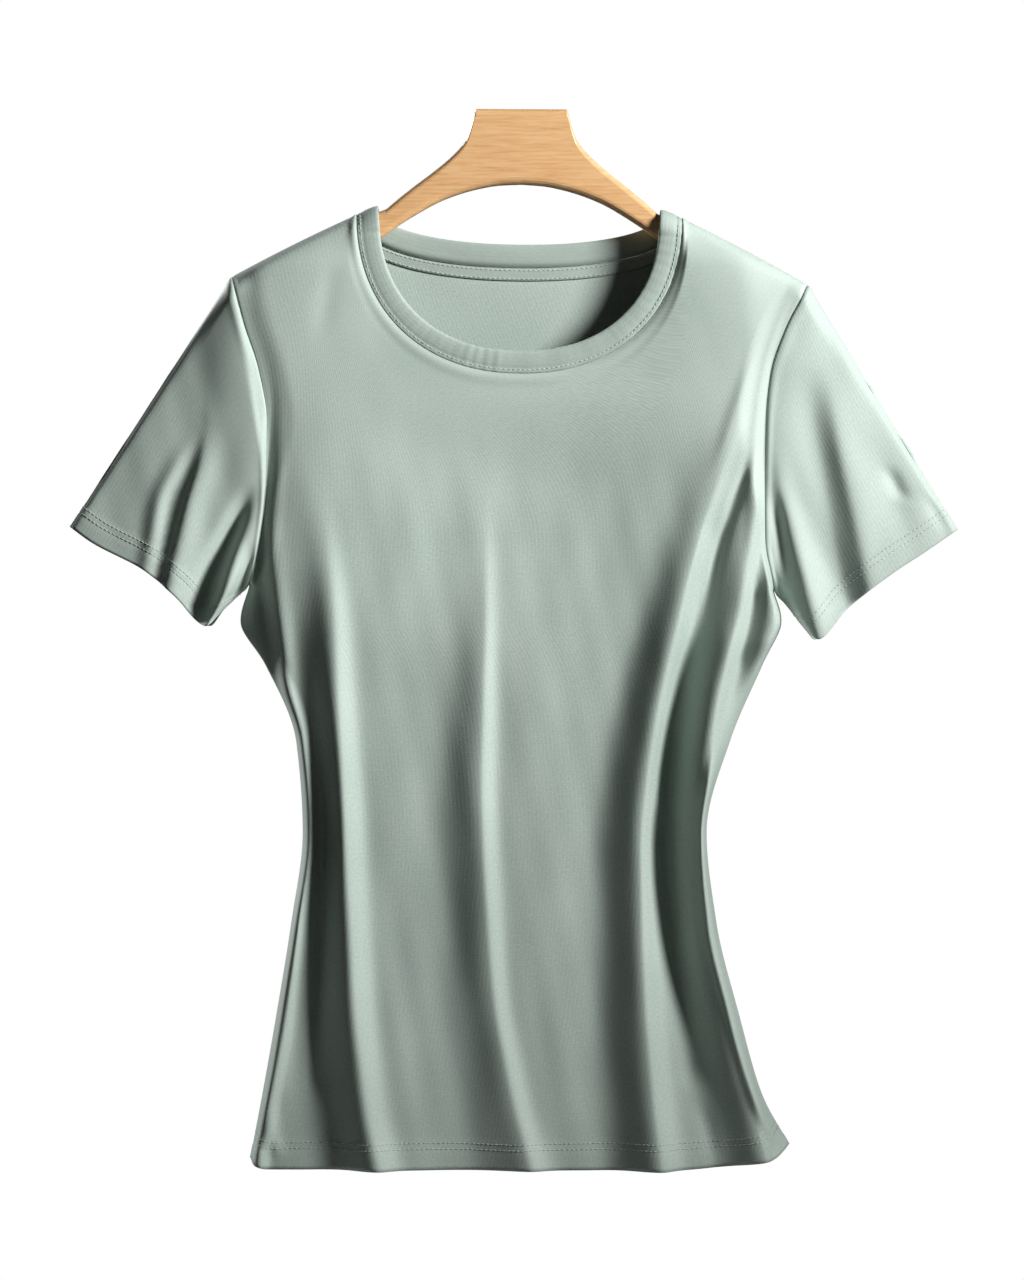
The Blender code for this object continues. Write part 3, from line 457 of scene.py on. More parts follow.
def neck_spread(panel, top, at):
    """How far columns swing out below the neck, so that they leave its steep sides at an angle."""
    neck = (at >= panel.neck_left) & (at <= panel.neck_right)
    run = np.gradient(top[neck], axis=0)
    left_end, right_end = top[neck][[0, -1], 0]
    out = np.interp(top[:, 0], (top[0, 0], left_end, right_end, top[-1, 0]), (0, -1, 1, 0))
    out = np.sign(out) * np.abs(out) ** NECK_SPREAD_FALL
    out[neck] = unit(run)[:, 1]
    return NECK_SPREAD * out


def armhole(sign, share):
    """x, z and depth of the armhole seam on the left (sign -1) or the right (sign 1)."""
    rows = np.array([(p.left_x, p.left_z) if sign < 0 else (p.right_x, p.right_z) for p in ARMHOLE])
    rows[-1, 1] = shoulder_line(rows[-1, 0])
    x, z = smooth([p.share for p in ARMHOLE], rows, share).T
    closing = quarter_round(np.asarray(share, float) / UNDERARM_ROUNDING)
    return x, z, ARMHOLE_DEPTH * closing * roll(x, z)


def armhole_normal(sign, facing, share, depth):
    """Unit normals of the cloth along the armhole seam."""
    share = np.asarray(share, float)
    lean = np.clip(depth / ARMHOLE_DEPTH, 0, 1)
    upright = np.sqrt(1 - lean**2)
    out = np.where(share > 0.5, TIP_NORMAL[0], UNDERARM_NORMAL[0]) * sign * upright
    up = np.where(share > 0.5, TIP_NORMAL[1], UNDERARM_NORMAL[1]) * upright
    return unit(np.stack([out, facing * lean, up], axis=-1))


def panel_surface(panel, at, body_rows, armhole_rows):
    """Outer points of a panel, from the hem up and from the left seam to the right one."""
    guides = panel.guides
    last = len(guides) - 1
    index = np.arange(last + 1)
    levels = np.arange(len(LEVELS))
    x_net = smooth(index, np.array([g.x for g in guides], float), at).T
    z_net = np.repeat(np.array(LEVELS)[:, None], len(at), axis=1)
    z_net[0] = smooth(index, [g.hem for g in guides], at)
    z_net[-1] = np.interp(at, (0, last), (ARMHOLE[0].left_z, ARMHOLE[0].right_z))
    rows = np.linspace(0, levels[-1], body_rows + 1)
    x_body = smooth(levels, x_net, rows)
    z_body = smooth(levels, z_net, rows)
    heights = LEVELS + CHEST_LEVELS
    depth_net = np.array([g.depth for g in guides], float)
    body_heights = np.interp(rows, levels, LEVELS)
    depth_body = smooth(index, smooth(heights, depth_net.T, body_heights).T, at).T
    body = np.stack([x_body, panel.facing * depth_body, z_body], axis=-1)

    share = np.asarray(armhole_rows, float)[1:]
    top = top_edge(panel, at)
    flat = (1 - share)[:, None, None] * np.stack([x_net[-1], z_net[-1]], axis=-1)
    flat = flat + share[:, None, None] * top
    swing = share**2 * (1 - share) / SWING_PEAK
    flat[..., 0] += swing[:, None] * neck_spread(panel, top, at)
    chest_heights = LEVELS[-1] + share * (CHEST_LEVELS[-1] - LEVELS[-1])
    chest_depth = smooth(heights, depth_net.T, chest_heights).T
    chest_reach = {-1: panel.neck_left, 1: last - panel.neck_right}
    for sign, column in ((-1, 0), (1, last)):
        x, z, depth = armhole(sign, share)
        pull = np.stack([x, z], axis=-1) - flat[:, 0 if sign < 0 else -1]
        near = np.clip(1 - np.abs(at - column) / chest_reach[sign], 0, 1) ** ARMHOLE_PULL_FALL
        flat = flat + near[None, :, None] * pull[:, None, :]
        chest_depth[column] = depth
    depth = smooth(index, chest_depth, at).T
    softened = roll(flat[..., 0], flat[..., 1])
    softened[:, [0, -1]] = 1
    chest = np.stack([flat[..., 0], panel.facing * depth * softened, flat[..., 1]], axis=-1)
    return np.concatenate([body, chest])


def top_normals(panel, points):
    """Normals of the cloth along a panel's top edge, which turn upright where it crosses the hanger."""
    lean = np.clip(np.abs(points[:, 1]) / SHOULDER_DEPTH, 0, 1)
    upright = np.sqrt(1 - lean**2)
    up = unit(np.stack([np.sign(points[:, 0]) * SHOULDER_SLOPE, np.ones(len(points))], axis=-1))
    return unit(np.stack([up[:, 0] * upright, panel.facing * lean, up[:, 1] * upright], axis=-1))


def surface_normals(grid, outward, closed=False):
    """Unit normals of a grid of points, all turned to the side that outward points to."""
    wide = grid
    if closed:
        wide = np.concatenate([grid[:, -1:], grid, grid[:, :1]], axis=1)
    across = np.gradient(wide, axis=1)
    if closed:
        across = across[:, 1:-1]
    normals = unit(np.cross(np.gradient(grid, axis=0), across))
    return normals * np.sign((normals * outward).sum())


def sleeve_surface(sign, front_folds, back_folds, cuff, rows, ring, down, up):
    """Outer points of a sleeve, from the armhole ring to the cuff."""
    cuff_points = np.array([(p.x, p.z) for p in cuff], float)
    ends, depths = [], []
    for facing, share, folds in ((-1, down, front_folds), (1, up, back_folds)):
        places = [f.armhole for f in folds]
        at_cuff = smooth(places, [f.cuff for f in folds], share)
        end = smooth([p.share for p in cuff], cuff_points, at_cuff)
        ends.append(end)
        depths.append(facing * smooth(places, [f.depth for f in folds], share))
    ends = np.concatenate(ends)
    depths = np.concatenate([ring[:, 1:2], np.concatenate(depths)], axis=1)
    way = np.linspace(0, 1, rows + 1)
    y = smooth((0, 1 / 3, 2 / 3, 1), depths.T, way)
    flat = (1 - way)[:, None, None] * ring[:, [0, 2]] + way[:, None, None] * ends
    return np.stack([flat[..., 0], y, flat[..., 1]], axis=-1)


def fine(knots, steps):
    """The knots with each stretch between two of them split into steps."""
    count = (len(knots) - 1) * steps
    return np.interp(np.linspace(0, len(knots) - 1, count + 1), np.arange(len(knots)), knots)


def fine_columns(guides, fineness):
    """Places of a shell's columns, in guides from the left seam."""
    steps = [np.arange(g.columns * fineness) / (g.columns * fineness) + i for i, g in enumerate(guides[:-1])]
    return np.concatenate(steps + [[len(guides) - 1]])


def crease_relief(x, z, creases, mirrored=1):
    """Height of the creases above the cloth at each x and z."""
    relief = np.zeros(x.shape)
    along = np.linspace(0, 1, ROUTE_SAMPLES)
    for crease in creases:
        knots = np.linspace(0, 1, len(crease.route))
        route_x, route_z = (smooth(knots, np.array(crease.route, float), along) * (mirrored, 1)).T
        lean = np.interp(z, route_z, np.gradient(route_x) / np.gradient(route_z))
        across = (x - np.interp(z, route_z, route_x)) / np.sqrt(1 + lean**2)
        beyond = np.maximum(route_z[0] - z, 0) + np.maximum(z - route_z[-1], 0)
        t = np.interp(z, route_z, along)
        width = np.where(across < 0, crease.left, crease.right) * (1 + crease.spread * (1 - t) ** 2)
        begin = crease.start + (1 - crease.start) * ease(t / CREASE_BEGIN)
        finish = crease.end + (1 - crease.end) * ease((1 - t) / CREASE_FINISH)
        relief += crease.rise * begin * finish * np.exp(-(across / width) ** 2 - (beyond / EDGE_CALM) ** 2)
    return relief


def ease(share):
    """0 to 1 with soft ends."""
    share = np.clip(share, 0, 1)
    return share * share * (3 - 2 * share)


def swell_relief(u, v):
    relief = np.zeros(u.shape)
    for swell in SWELLS:
        relief += swell.height * np.sin(2 * math.pi * (u / swell.across + v / swell.down) + swell.phase)
    return relief


def runs(grid):
    """Lengths along the cloth at each point: across from the first column and up from the first row."""
    across = np.linalg.norm(np.diff(grid, axis=1), axis=-1).cumsum(axis=1)
    up = np.linalg.norm(np.diff(grid, axis=0), axis=-1).cumsum(axis=0)
    return np.pad(across, ((0, 0), (1, 0))), np.pad(up, ((1, 0), (0, 0)))


def hem_relief(from_edge, depth):
    """The doubled cloth of a hem stands out a little, and its two rows of stitches pull it in."""
    doubled = HEM_RISE * (1 - ease((from_edge - depth + HEM_STEP) / HEM_STEP))
    pulled = sum(np.exp(-((from_edge - depth + k * NEEDLE_SPACING) / NEEDLE_DIP_WIDTH) ** 2) for k in NEEDLES)
    return doubled - NEEDLE_DIP * pulled


def seam_relief(from_seam, rolled):
    """A seam sinks between its two sides, and the side that holds the seam's turned edges stands out."""
    dip = -SEAM_DIP * np.exp(-(from_seam / SEAM_DIP_WIDTH) ** 2)
    bulge = SEAM_ROLL * np.exp(-((from_seam - SEAM_ROLL_WIDTH) / SEAM_ROLL_WIDTH) ** 2) * rolled
    return dip + bulge


def panel_shell(panel, creases):
    """Outer points of a panel's cloth, with its uv in millimetres, and its hem's run for the stitches."""
    at = fine_columns(panel.guides, PANEL_COLUMN_STEPS)
    rows = fine(ARMHOLE_ROWS, ARMHOLE_STEPS)
    grid = panel_surface(panel, at, PANEL_BODY_ROWS, rows)
    x, z = grid[..., 0], grid[..., 2]
    left, right = np.interp(z, z[:, 0], x[:, 0]), np.interp(z, z[:, -1], x[:, -1])
    from_side = np.maximum(np.minimum(x - left, right - x), 0)
    _, up = runs(grid)
    even_depth(panel, at, grid, from_side, up[-1:] - up)
    normals = surface_normals(grid, np.array((0, panel.facing, 0)))
    normals[-1] = top_normals(panel, grid[-1])
    for sign, column in ((-1, 0), (1, -1)):
        normals[:PANEL_BODY_ROWS, column] = (sign, 0, 0)
        _, _, depth = armhole(sign, rows)
        normals[PANEL_BODY_ROWS:, column] = armhole_normal(sign, panel.facing, rows, depth)
    across, up = runs(grid)
    from_top = up[-1:] - up
    side_calm = SIDE_CALM + (ARMHOLE_CALM - SIDE_CALM) * ease((z - YOKE_FROM) / YOKE_BLEND)
    calm = ease(from_side / side_calm) * ease(from_top / EDGE_CALM)
    below_yoke = 1 - YOKE_CALM * ease((z - YOKE_FROM) / YOKE_BLEND)
    folds = crease_relief(x, z, creases) + swell_relief(x, z) * below_yoke
    grid[..., 1] += panel.facing * folds * calm
    relief = hem_relief(up, HEM_DEPTH) * ease(from_side / HEM_SIDE_CALM)
    relief += seam_relief(from_side, 0) * (up > SEAM_FROM_HEM)
    on_neck = (at >= panel.neck_left) & (at <= panel.neck_right)
    relief += seam_relief(from_top, 1) * on_neck
    grid = grid + normals * relief[..., None]
    return grid, normals, np.stack([across, up], axis=-1)


def even_depth(panel, at, grid, from_side, from_top):
    """Evens out the depth of a panel's form on a raster of x and z, and leaves its edges in place."""
    x, depth, z = (grid[..., k] for k in range(3))
    xs = np.arange(x.min(), x.max() + RASTER, RASTER)
    zs = np.arange(z.min(), z.max() + RASTER, RASTER)
    raster, share = np.zeros((len(zs), len(xs))), np.zeros((len(zs), len(xs)))
    edge = np.interp(xs, x[-1], z[-1])
    neck = x[-1, (at >= panel.neck_left) & (at <= panel.neck_right)]
    on_neck = (xs > neck.min()) & (xs < neck.max())
    for i, level in enumerate(zs):
        line = np.array([[np.interp(level, z[:, j], values[:, j]) for values in (x, depth)] for j in range(x.shape[1])])
        line = line[line[:, 0].argsort()]
        raster[i] = np.interp(xs, *line.T)
        reach = EVEN_SIDE - (EVEN_SIDE - EVEN_ARMHOLE) * ease((level - YOKE_FROM) / YOKE_BLEND)
        share[i] = ease(np.minimum(xs - line[0, 0], line[-1, 0] - xs) / reach) / 4
        share[i] *= np.where(on_neck, edge > level, ease((edge - level) / EVEN_SHOULDER))
        from_seam = np.hypot(xs[:, None] - x[-1], level - z[-1]).min(axis=1)
        share[i] *= ease(from_seam / (1 + EVEN_SEAM * ease(np.abs(xs) / NECK_REACH)))
    for _ in range(EVEN_PASSES):
        middle = raster[1:-1, 1:-1]
        around = raster[2:, 1:-1] + raster[:-2, 1:-1] + raster[1:-1, 2:] + raster[1:-1, :-2]
        raster[1:-1, 1:-1] = middle + share[1:-1, 1:-1] * (around - 4 * middle)
        raster[0] = raster[1]
    u, v = (x - xs[0]) / RASTER, (z - zs[0]) / RASTER
    i, j = np.minimum(v.astype(int), len(zs) - 2), np.minimum(u.astype(int), len(xs) - 2)
    f, g = v - i, u - j
    even = (raster[i, j] * (1 - g) + raster[i, j + 1] * g) * (1 - f)
    even += (raster[i + 1, j] * (1 - g) + raster[i + 1, j + 1] * g) * f
    blend = ease(np.minimum(from_side, from_top) / EVEN_EDGE)
    depth += blend * (even - depth)


def sleeve_ring(sign):
    """The armhole seam at the shell's finer steps: down the front from the tip and up the back."""
    rows = fine(ARMHOLE_ROWS, SLEEVE_RING_STEPS)
    down = rows[::-1]
    up = rows[1:-1]
    points, normals = [], []
    for facing, share in ((-1, down), (1, up)):
        x, z, depth = armhole(sign, share)
        points.append(np.stack([x, facing * depth, z], axis=-1))
        normals.append(armhole_normal(sign, facing, share, depth))
    return np.concatenate(points), np.concatenate(normals), down, up


def sleeve_shell(sign, front_folds, back_folds, cuff, creases):
    """Outer points of a sleeve's cloth, round by round from the armhole to the cuff."""
    ring, ring_normals, down, up = sleeve_ring(sign)
    grid = sleeve_surface(sign, softened(front_folds), softened(back_folds), cuff, SLEEVE_ROWS, ring, down, up)
    press_flat(grid)
    outward = grid - grid.mean(axis=1, keepdims=True)
    normals = surface_normals(grid, outward, closed=True)
    normals[0] = ring_normals
    across, along = runs(grid)
    front = crease_relief(grid[..., 0], grid[..., 2], creases)
    back = crease_relief(grid[..., 0], grid[..., 2], SLEEVE_BACK_CREASES, mirrored=sign)
    relief = np.where(grid[..., 1] < 0, front, back) * ease(np.abs(grid[..., 1]) / SLEEVE_EDGE_CALM)
    relief = (relief + swell_relief(grid[..., 0], grid[..., 2])) * ease(along / SIDE_CALM)
    grid[..., 1] += np.sign(grid[..., 1]) * relief
    from_cuff = along[-1:] - along
    relief = hem_relief(from_cuff, CUFF_DEPTH) + seam_relief(along, 1)
    return grid + normals * relief[..., None], normals, np.stack([across, along], axis=-1)


def softened(folds):
    """Sleeve folds with each ridge and groove drawn in to the depths beside it."""
    soft = list(folds)
    for i in range(2, len(folds) - 2):
        beside = (np.array(folds[i - 1].depth) + folds[i + 1].depth) / 2
        soft[i] = folds[i]._replace(depth=tuple(np.array(folds[i].depth) * (1 - FOLD_SOFTEN) + beside * FOLD_SOFTEN))
    return soft


def press_flat(grid):
    """Thins a sleeve towards its outer fold, which lies pressed, and leaves its armhole in place."""
    away = grid - grid[:, :1]
    limit = FOLD_EDGE + FOLD_SLOPE * np.hypot(away[..., 0], away[..., 2])
    depth = np.abs(grid[..., 1]) + 1e-6
    pressed = depth * limit / (depth**4 + limit**4) ** 0.25
    share = ease(np.arange(len(grid)) / len(grid) / FOLD_FROM)[:, None]
    grid[..., 1] *= 1 + share * (pressed / depth - 1)


def neck_ring():
    """Points, normals and directions to the band's free edge: the front left to right, then the back."""
    points, normals = [], []
    for panel in (FRONT, BACK):
        at = fine_columns(panel.guides, BAND_STEPS)
        rows = panel_surface(panel, at, 1, (0, 1))[-1]
        neck = (at >= panel.neck_left) & (at <= panel.neck_right)
        points.append(rows[neck])
        normals.append(top_normals(panel, rows)[neck])
    points = np.concatenate([points[0], points[1][::-1][1:-1]])
    normals = np.concatenate([normals[0], normals[1][::-1][1:-1]])
    tangents = np.roll(points, -1, axis=0) - np.roll(points, 1, axis=0)
    ways = unit(np.cross(normals, tangents))
    return points, normals, ways * np.sign((ways * (0, 0, 1)).sum())


def add_object(name, data):
    made = bpy.data.objects.new(name, data)
    bpy.context.scene.collection.objects.link(made)
    return made


def add_piece(name, points, faces, material, corners=None):
    """A smooth mesh of points in millimetres, with the uv of its faces' corners in metres."""
    mesh = bpy.data.meshes.new(name)
    mesh.from_pydata(points * MM, [], faces)
    if corners is not None:
        mesh.uv_layers.new(name="cloth").data.foreach_set("uv", corners.reshape(-1))
    mesh.shade_smooth()
    mesh.materials.append(material)
    return add_object(name, mesh)


def shell(name, grid, uv, material, closed=False, thickness=CLOTH, flip=False):
    """A thin cloth shell whose outer side is the grid, given its thickness by Solidify."""
    rows, columns, _ = grid.shape
    index = np.arange(rows * columns).reshape(rows, columns)
    right = np.roll(index, -1, axis=1)
    if not closed:
        index, right = index[:, :-1], right[:, :-1]
    quads = np.stack([index[:-1], right[:-1], right[1:], index[1:]], axis=-1).reshape(-1, 4)
    if flip:
        quads = quads[:, ::-1]
    flat = uv.reshape(-1, 2)[quads] * MM
    if closed:
        wide = uv[:, -1, 0] + np.linalg.norm(grid[:, 0] - grid[:, -1], axis=-1)
        wrap = (quads % columns == 0) & (quads.max(axis=1, keepdims=True) % columns == columns - 1)
        flat[..., 0][wrap] = wide[quads[wrap] // columns] * MM
    piece = add_piece(name, grid.reshape(-1, 3), quads.tolist(), material, flat)
    wall = piece.modifiers.new("cloth thickness", "SOLIDIFY")
    wall.thickness = thickness * MM
    wall.offset = -1
    wall.use_even_offset = False
    apply_modifiers(piece)
    return piece


def pick(piece):
    bpy.ops.object.select_all(action="DESELECT")
    bpy.context.view_layer.objects.active = piece
    piece.select_set(True)


def apply_modifiers(piece):
    pick(piece)
    for modifier in list(piece.modifiers):
        bpy.ops.object.modifier_apply(modifier=modifier.name)
    piece.select_set(False)


def place(piece, node):
    """Puts a finished piece on the body, in place of a node or lying on one."""
    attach(piece, "root")
    if node:
        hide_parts(node)
    return piece


def at_lengths(at, lengths, values):
    """Points or normals of a line at some lengths along it."""
    return np.stack([np.interp(at, lengths, values[:, k]) for k in range(3)], axis=-1)


def run_along(points):
    return np.concatenate([[0], np.linalg.norm(np.diff(points, axis=0), axis=-1).cumsum()])


def closed_up(values):
    """The values of a ring, with its first one again at its end."""
    return np.concatenate([values, values[:1]])


def stitches(name, rows, material):
    """Rows of short raised stitches, all in one mesh. Each row is its points and the cloth's normals there."""
    verts, faces = [], []
    turn = np.linspace(0, 2 * math.pi, STITCH_SIDES, endpoint=False)
    for points, normals in rows:
        length = run_along(points)
        middles = np.arange(STITCH_PITCH / 2, length[-1], STITCH_PITCH)
        centre = at_lengths(middles, length, points)
        ahead = at_lengths(middles + STITCH_AHEAD, length, points)
        up = unit(at_lengths(middles, length, normals))
        along = unit(ahead - centre + 1e-9)
        side = unit(np.cross(along, up))
        for c, a, n, s in zip(centre, along, up, side):
            first = len(verts)
            for way, girth in STITCH_PROFILE:
                ring = STITCH_RADIUS * girth
                for t in turn:
                    round_it = (s * math.cos(t) + n * math.sin(t)) * ring
                    verts.append(c + n * STITCH_LIFT + a * way * STITCH_LENGTH + round_it)
            for r in range(len(STITCH_PROFILE) - 1):
                for k in range(STITCH_SIDES):
                    a0 = first + r * STITCH_SIDES + k
                    a1 = first + r * STITCH_SIDES + (k + 1) % STITCH_SIDES
                    faces.append((a0, a1, a1 + STITCH_SIDES, a0 + STITCH_SIDES))
            faces.append(tuple(first + k for k in reversed(range(STITCH_SIDES))))
            last = first + (len(STITCH_PROFILE) - 1) * STITCH_SIDES
            faces.append(tuple(last + k for k in range(STITCH_SIDES)))
    piece = add_piece(name, np.array(verts), faces, material)
    outward(piece)
    return piece


def outward(piece):
    """Turns all of a piece's faces outward."""
    pick(piece)
    bpy.ops.object.mode_set(mode="EDIT")
    bpy.ops.mesh.select_all(action="SELECT")
    bpy.ops.mesh.normals_make_consistent(inside=False)
    bpy.ops.object.mode_set(mode="OBJECT")
    piece.select_set(False)


def row_of(grid, normals, lengths, at):
    """Points and normals of the line that lies at one length from the first row of a grid."""
    points, turned = (np.array([at_lengths(at, lengths[:, j], values[:, j]) for j in range(grid.shape[1])])
                      for values in (grid, normals))
    return points, unit(turned)


# Materials

def linear(hex_colour):
    """An sRGB hex colour as linear red, green, blue and alpha."""
    parts = [int(hex_colour[i:i + 2], 16) / 255 for i in (1, 3, 5)]
    return tuple(c / 12.92 if c <= 0.04045 else ((c + 0.055) / 1.055) ** 2.4 for c in parts) + (1.0,)


def node(tree, kind, settings=None, stops=()):
    """Adds a node, sets its properties and inputs, links the sockets among them, and sets its colour stops."""
    made = tree.nodes.new(kind)
    for key, value in (settings or {}).items():
        if isinstance(value, bpy.types.NodeSocket):
            tree.links.new(value, made.inputs[key])
        elif isinstance(key, str) and hasattr(made, key):
            setattr(made, key, value)
        else:
            made.inputs[key].default_value = value
    for _ in stops[2:]:
        made.color_ramp.elements.new(0.5)
    for i, (place_at, colour) in enumerate(stops):
        made.color_ramp.elements[i].position = place_at
        made.color_ramp.elements[i].color = linear(colour)
    return made


def new_material(name):
    made = bpy.data.materials.new(name)
    made.use_nodes = True
    tree = made.node_tree
    shader = tree.nodes["Principled BSDF"]
    return made, tree, shader


def jersey(name, shade, light, wale, course, bump):
    """Cotton single jersey, dyed and lightly brushed: fine upright wales, a soft sheen and no gloss."""
    made, tree, shader = new_material(name)
    uv = node(tree, "ShaderNodeUVMap", {"uv_map": "cloth"}).outputs["UV"]
    cloud = node(tree, "ShaderNodeTexNoise", {"Vector": uv, "Scale": 9.0, "Detail": 2.0, "Roughness": 0.5})
    fibre = node(tree, "ShaderNodeTexNoise", {"Vector": uv, "Scale": 620.0, "Detail": 3.0, "Roughness": 0.65})
    clouded = node(tree, "ShaderNodeMath", {"operation": "MULTIPLY", 0: cloud.outputs["Fac"], 1: 0.45})
    tone = node(tree, "ShaderNodeMath", {
        "operation": "MULTIPLY_ADD", 0: fibre.outputs["Fac"], 1: 0.55, 2: clouded.outputs[0]})
    dye = node(tree, "ShaderNodeValToRGB", {"Fac": tone.outputs[0]}, ((0.38, shade), (0.62, light)))
    tree.links.new(dye.outputs["Color"], shader.inputs["Base Color"])
    streaks = node(tree, "ShaderNodeMapping", {"Vector": uv, "Scale": (430.0, 90.0, 1.0)}).outputs["Vector"]
    yarn = node(tree, "ShaderNodeTexNoise", {"Vector": streaks, "Scale": 1.0, "Detail": 3.0, "Roughness": 0.6})
    knit = node(tree, "ShaderNodeMath", {
        "operation": "MULTIPLY_ADD", 0: knit_loops(tree, uv, wale, course), 1: 0.3, 2: yarn.outputs["Fac"]})
    rough = node(tree, "ShaderNodeMath", {
        "operation": "MULTIPLY_ADD", 0: fibre.outputs["Fac"], 1: 0.8, 2: knit.outputs[0]})
    raised = node(tree, "ShaderNodeBump", {"Height": rough.outputs[0], "Strength": bump, "Distance": 0.00012})
    tree.links.new(raised.outputs["Normal"], shader.inputs["Normal"])
    shader.inputs["Roughness"].default_value = 0.6
    shader.inputs["IOR"].default_value = 1.46
    shader.inputs["Specular IOR Level"].default_value = 0.4
    shader.inputs["Sheen Weight"].default_value = 0.12
    shader.inputs["Sheen Roughness"].default_value = 0.45
    shader.inputs["Sheen Tint"].default_value = linear("#E4F0E8")
    return made


def knit_loops(tree, uv, wale, course):
    """Height of a knit's loops: its wales side by side, and fainter, its courses one above the other."""
    split = node(tree, "ShaderNodeSeparateXYZ", {"Vector": uv})
    crests = []
    for axis, spacing in (("X", wale), ("Y", course)):
        turns = node(tree, "ShaderNodeMath", {
            "operation": "MULTIPLY", 0: split.outputs[axis], 1: 2 * math.pi / (spacing * MM)})
        crests.append(node(tree, "ShaderNodeMath", {"operation": "SINE", 0: turns.outputs[0]}).outputs[0])
    loops = node(tree, "ShaderNodeMath", {"operation": "MULTIPLY_ADD", 0: crests[1], 1: 0.35, 2: crests[0]})
    return loops.outputs[0]


def beech(name):
    """Beech board, sanded and satin varnished: long fine grain along the arms with short darker flecks."""
    made, tree, shader = new_material(name)
    on_board = node(tree, "ShaderNodeTexCoord").outputs["Object"]
    stretched = node(tree, "ShaderNodeMapping", {"Vector": on_board, "Scale": (5.0, 30.0, 90.0)}).outputs["Vector"]
    grain = node(tree, "ShaderNodeTexNoise", {"Vector": stretched, "Scale": 6.0, "Detail": 6.0, "Roughness": 0.6})
    fleck_run = node(tree, "ShaderNodeMapping", {"Vector": on_board, "Scale": (40.0, 120.0, 420.0)}).outputs["Vector"]
    fleck = node(tree, "ShaderNodeTexNoise", {"Vector": fleck_run, "Scale": 3.0, "Detail": 2.0, "Roughness": 0.5})
    flecked = node(tree, "ShaderNodeMath", {"operation": "MULTIPLY", 0: fleck.outputs["Fac"], 1: 0.28})
    tone = node(tree, "ShaderNodeMath", {
        "operation": "MULTIPLY_ADD", 0: grain.outputs["Fac"], 1: 0.72, 2: flecked.outputs[0]})
    stain = node(tree, "ShaderNodeValToRGB", {"Fac": tone.outputs[0]}, (
        (0.30, "#C28E5B"), (0.46, "#D4A572"), (0.56, "#DAAF7D"), (0.72, "#E2BD8F")))
    tree.links.new(stain.outputs["Color"], shader.inputs["Base Color"])
    raised = node(tree, "ShaderNodeBump", {"Height": tone.outputs[0], "Strength": 0.06, "Distance": 0.0003})
    tree.links.new(raised.outputs["Normal"], shader.inputs["Normal"])
    shader.inputs["Roughness"].default_value = 0.42
    shader.inputs["IOR"].default_value = 1.5
    shader.inputs["Coat Weight"].default_value = 0.15
    shader.inputs["Coat Roughness"].default_value = 0.3
    return made


def thread(name, shade, light):
    """Spun polyester sewing thread, a shade lighter than the cloth, with a faint gloss."""
    made, tree, shader = new_material(name)
    on_cloth = node(tree, "ShaderNodeTexCoord").outputs["Object"]
    fuzz = node(tree, "ShaderNodeTexNoise", {"Vector": on_cloth, "Scale": 2500.0, "Detail": 2.0})
    tint = node(tree, "ShaderNodeValToRGB", {"Fac": fuzz.outputs["Fac"]}, ((0.3, shade), (0.7, light)))
    tree.links.new(tint.outputs["Color"], shader.inputs["Base Color"])
    shader.inputs["Roughness"].default_value = 0.55
    shader.inputs["Sheen Weight"].default_value = 0.2
    return made


def chalk_floor(name):
    """Matt pale studio floor."""
    made, tree, shader = new_material(name)
    on_floor = node(tree, "ShaderNodeTexCoord").outputs["Object"]
    cloud = node(tree, "ShaderNodeTexNoise", {"Vector": on_floor, "Scale": 1.5, "Detail": 3.0})
    tint = node(tree, "ShaderNodeValToRGB", {"Fac": cloud.outputs["Fac"]}, ((0.3, "#EFEFED"), (0.7, "#F7F7F6")))
    tree.links.new(tint.outputs["Color"], shader.inputs["Base Color"])
    shader.inputs["Roughness"].default_value = 0.9
    return made


# Pieces

def build_panels(cloth, sewing):
    for name, panel, creases, flip in (("front", FRONT, FRONT_CREASES, False), ("back", BACK, BACK_CREASES, True)):
        grid, normals, uv = panel_shell(panel, creases)
        piece = shell(f"{name}_panel", grid, uv, cloth, flip=flip)
        place(piece, name)
        rows = [row_of(grid, normals, uv[..., 1], HEM_DEPTH - k * NEEDLE_SPACING) for k in NEEDLES]
        place(stitches(f"{name}_hem_stitches", rows, sewing), None)


def build_sleeves(cloth, sewing):
    for name, sign, front_folds, cuff, creases in (
            ("sleeve_left", -1, LEFT_SLEEVE_FRONT, LEFT_CUFF, LEFT_SLEEVE_CREASES),
            ("sleeve_right", 1, RIGHT_SLEEVE_FRONT, RIGHT_CUFF, RIGHT_SLEEVE_CREASES)):
        grid, normals, uv = sleeve_shell(sign, front_folds, SLEEVE_BACK, cuff, creases)
        piece = shell(f"{name}_tube", grid, uv, cloth, closed=True, flip=sign < 0)
        place(piece, name)
        from_cuff = uv[-1:, :, 1] - uv[..., 1]
        rows = []
        for k in NEEDLES:
            points, turned = row_of(grid[::-1], normals[::-1], from_cuff[::-1], CUFF_DEPTH - k * NEEDLE_SPACING)
            rows.append((closed_up(points), closed_up(turned)))
        place(stitches(f"{name}_cuff_stitches", rows, sewing), None)


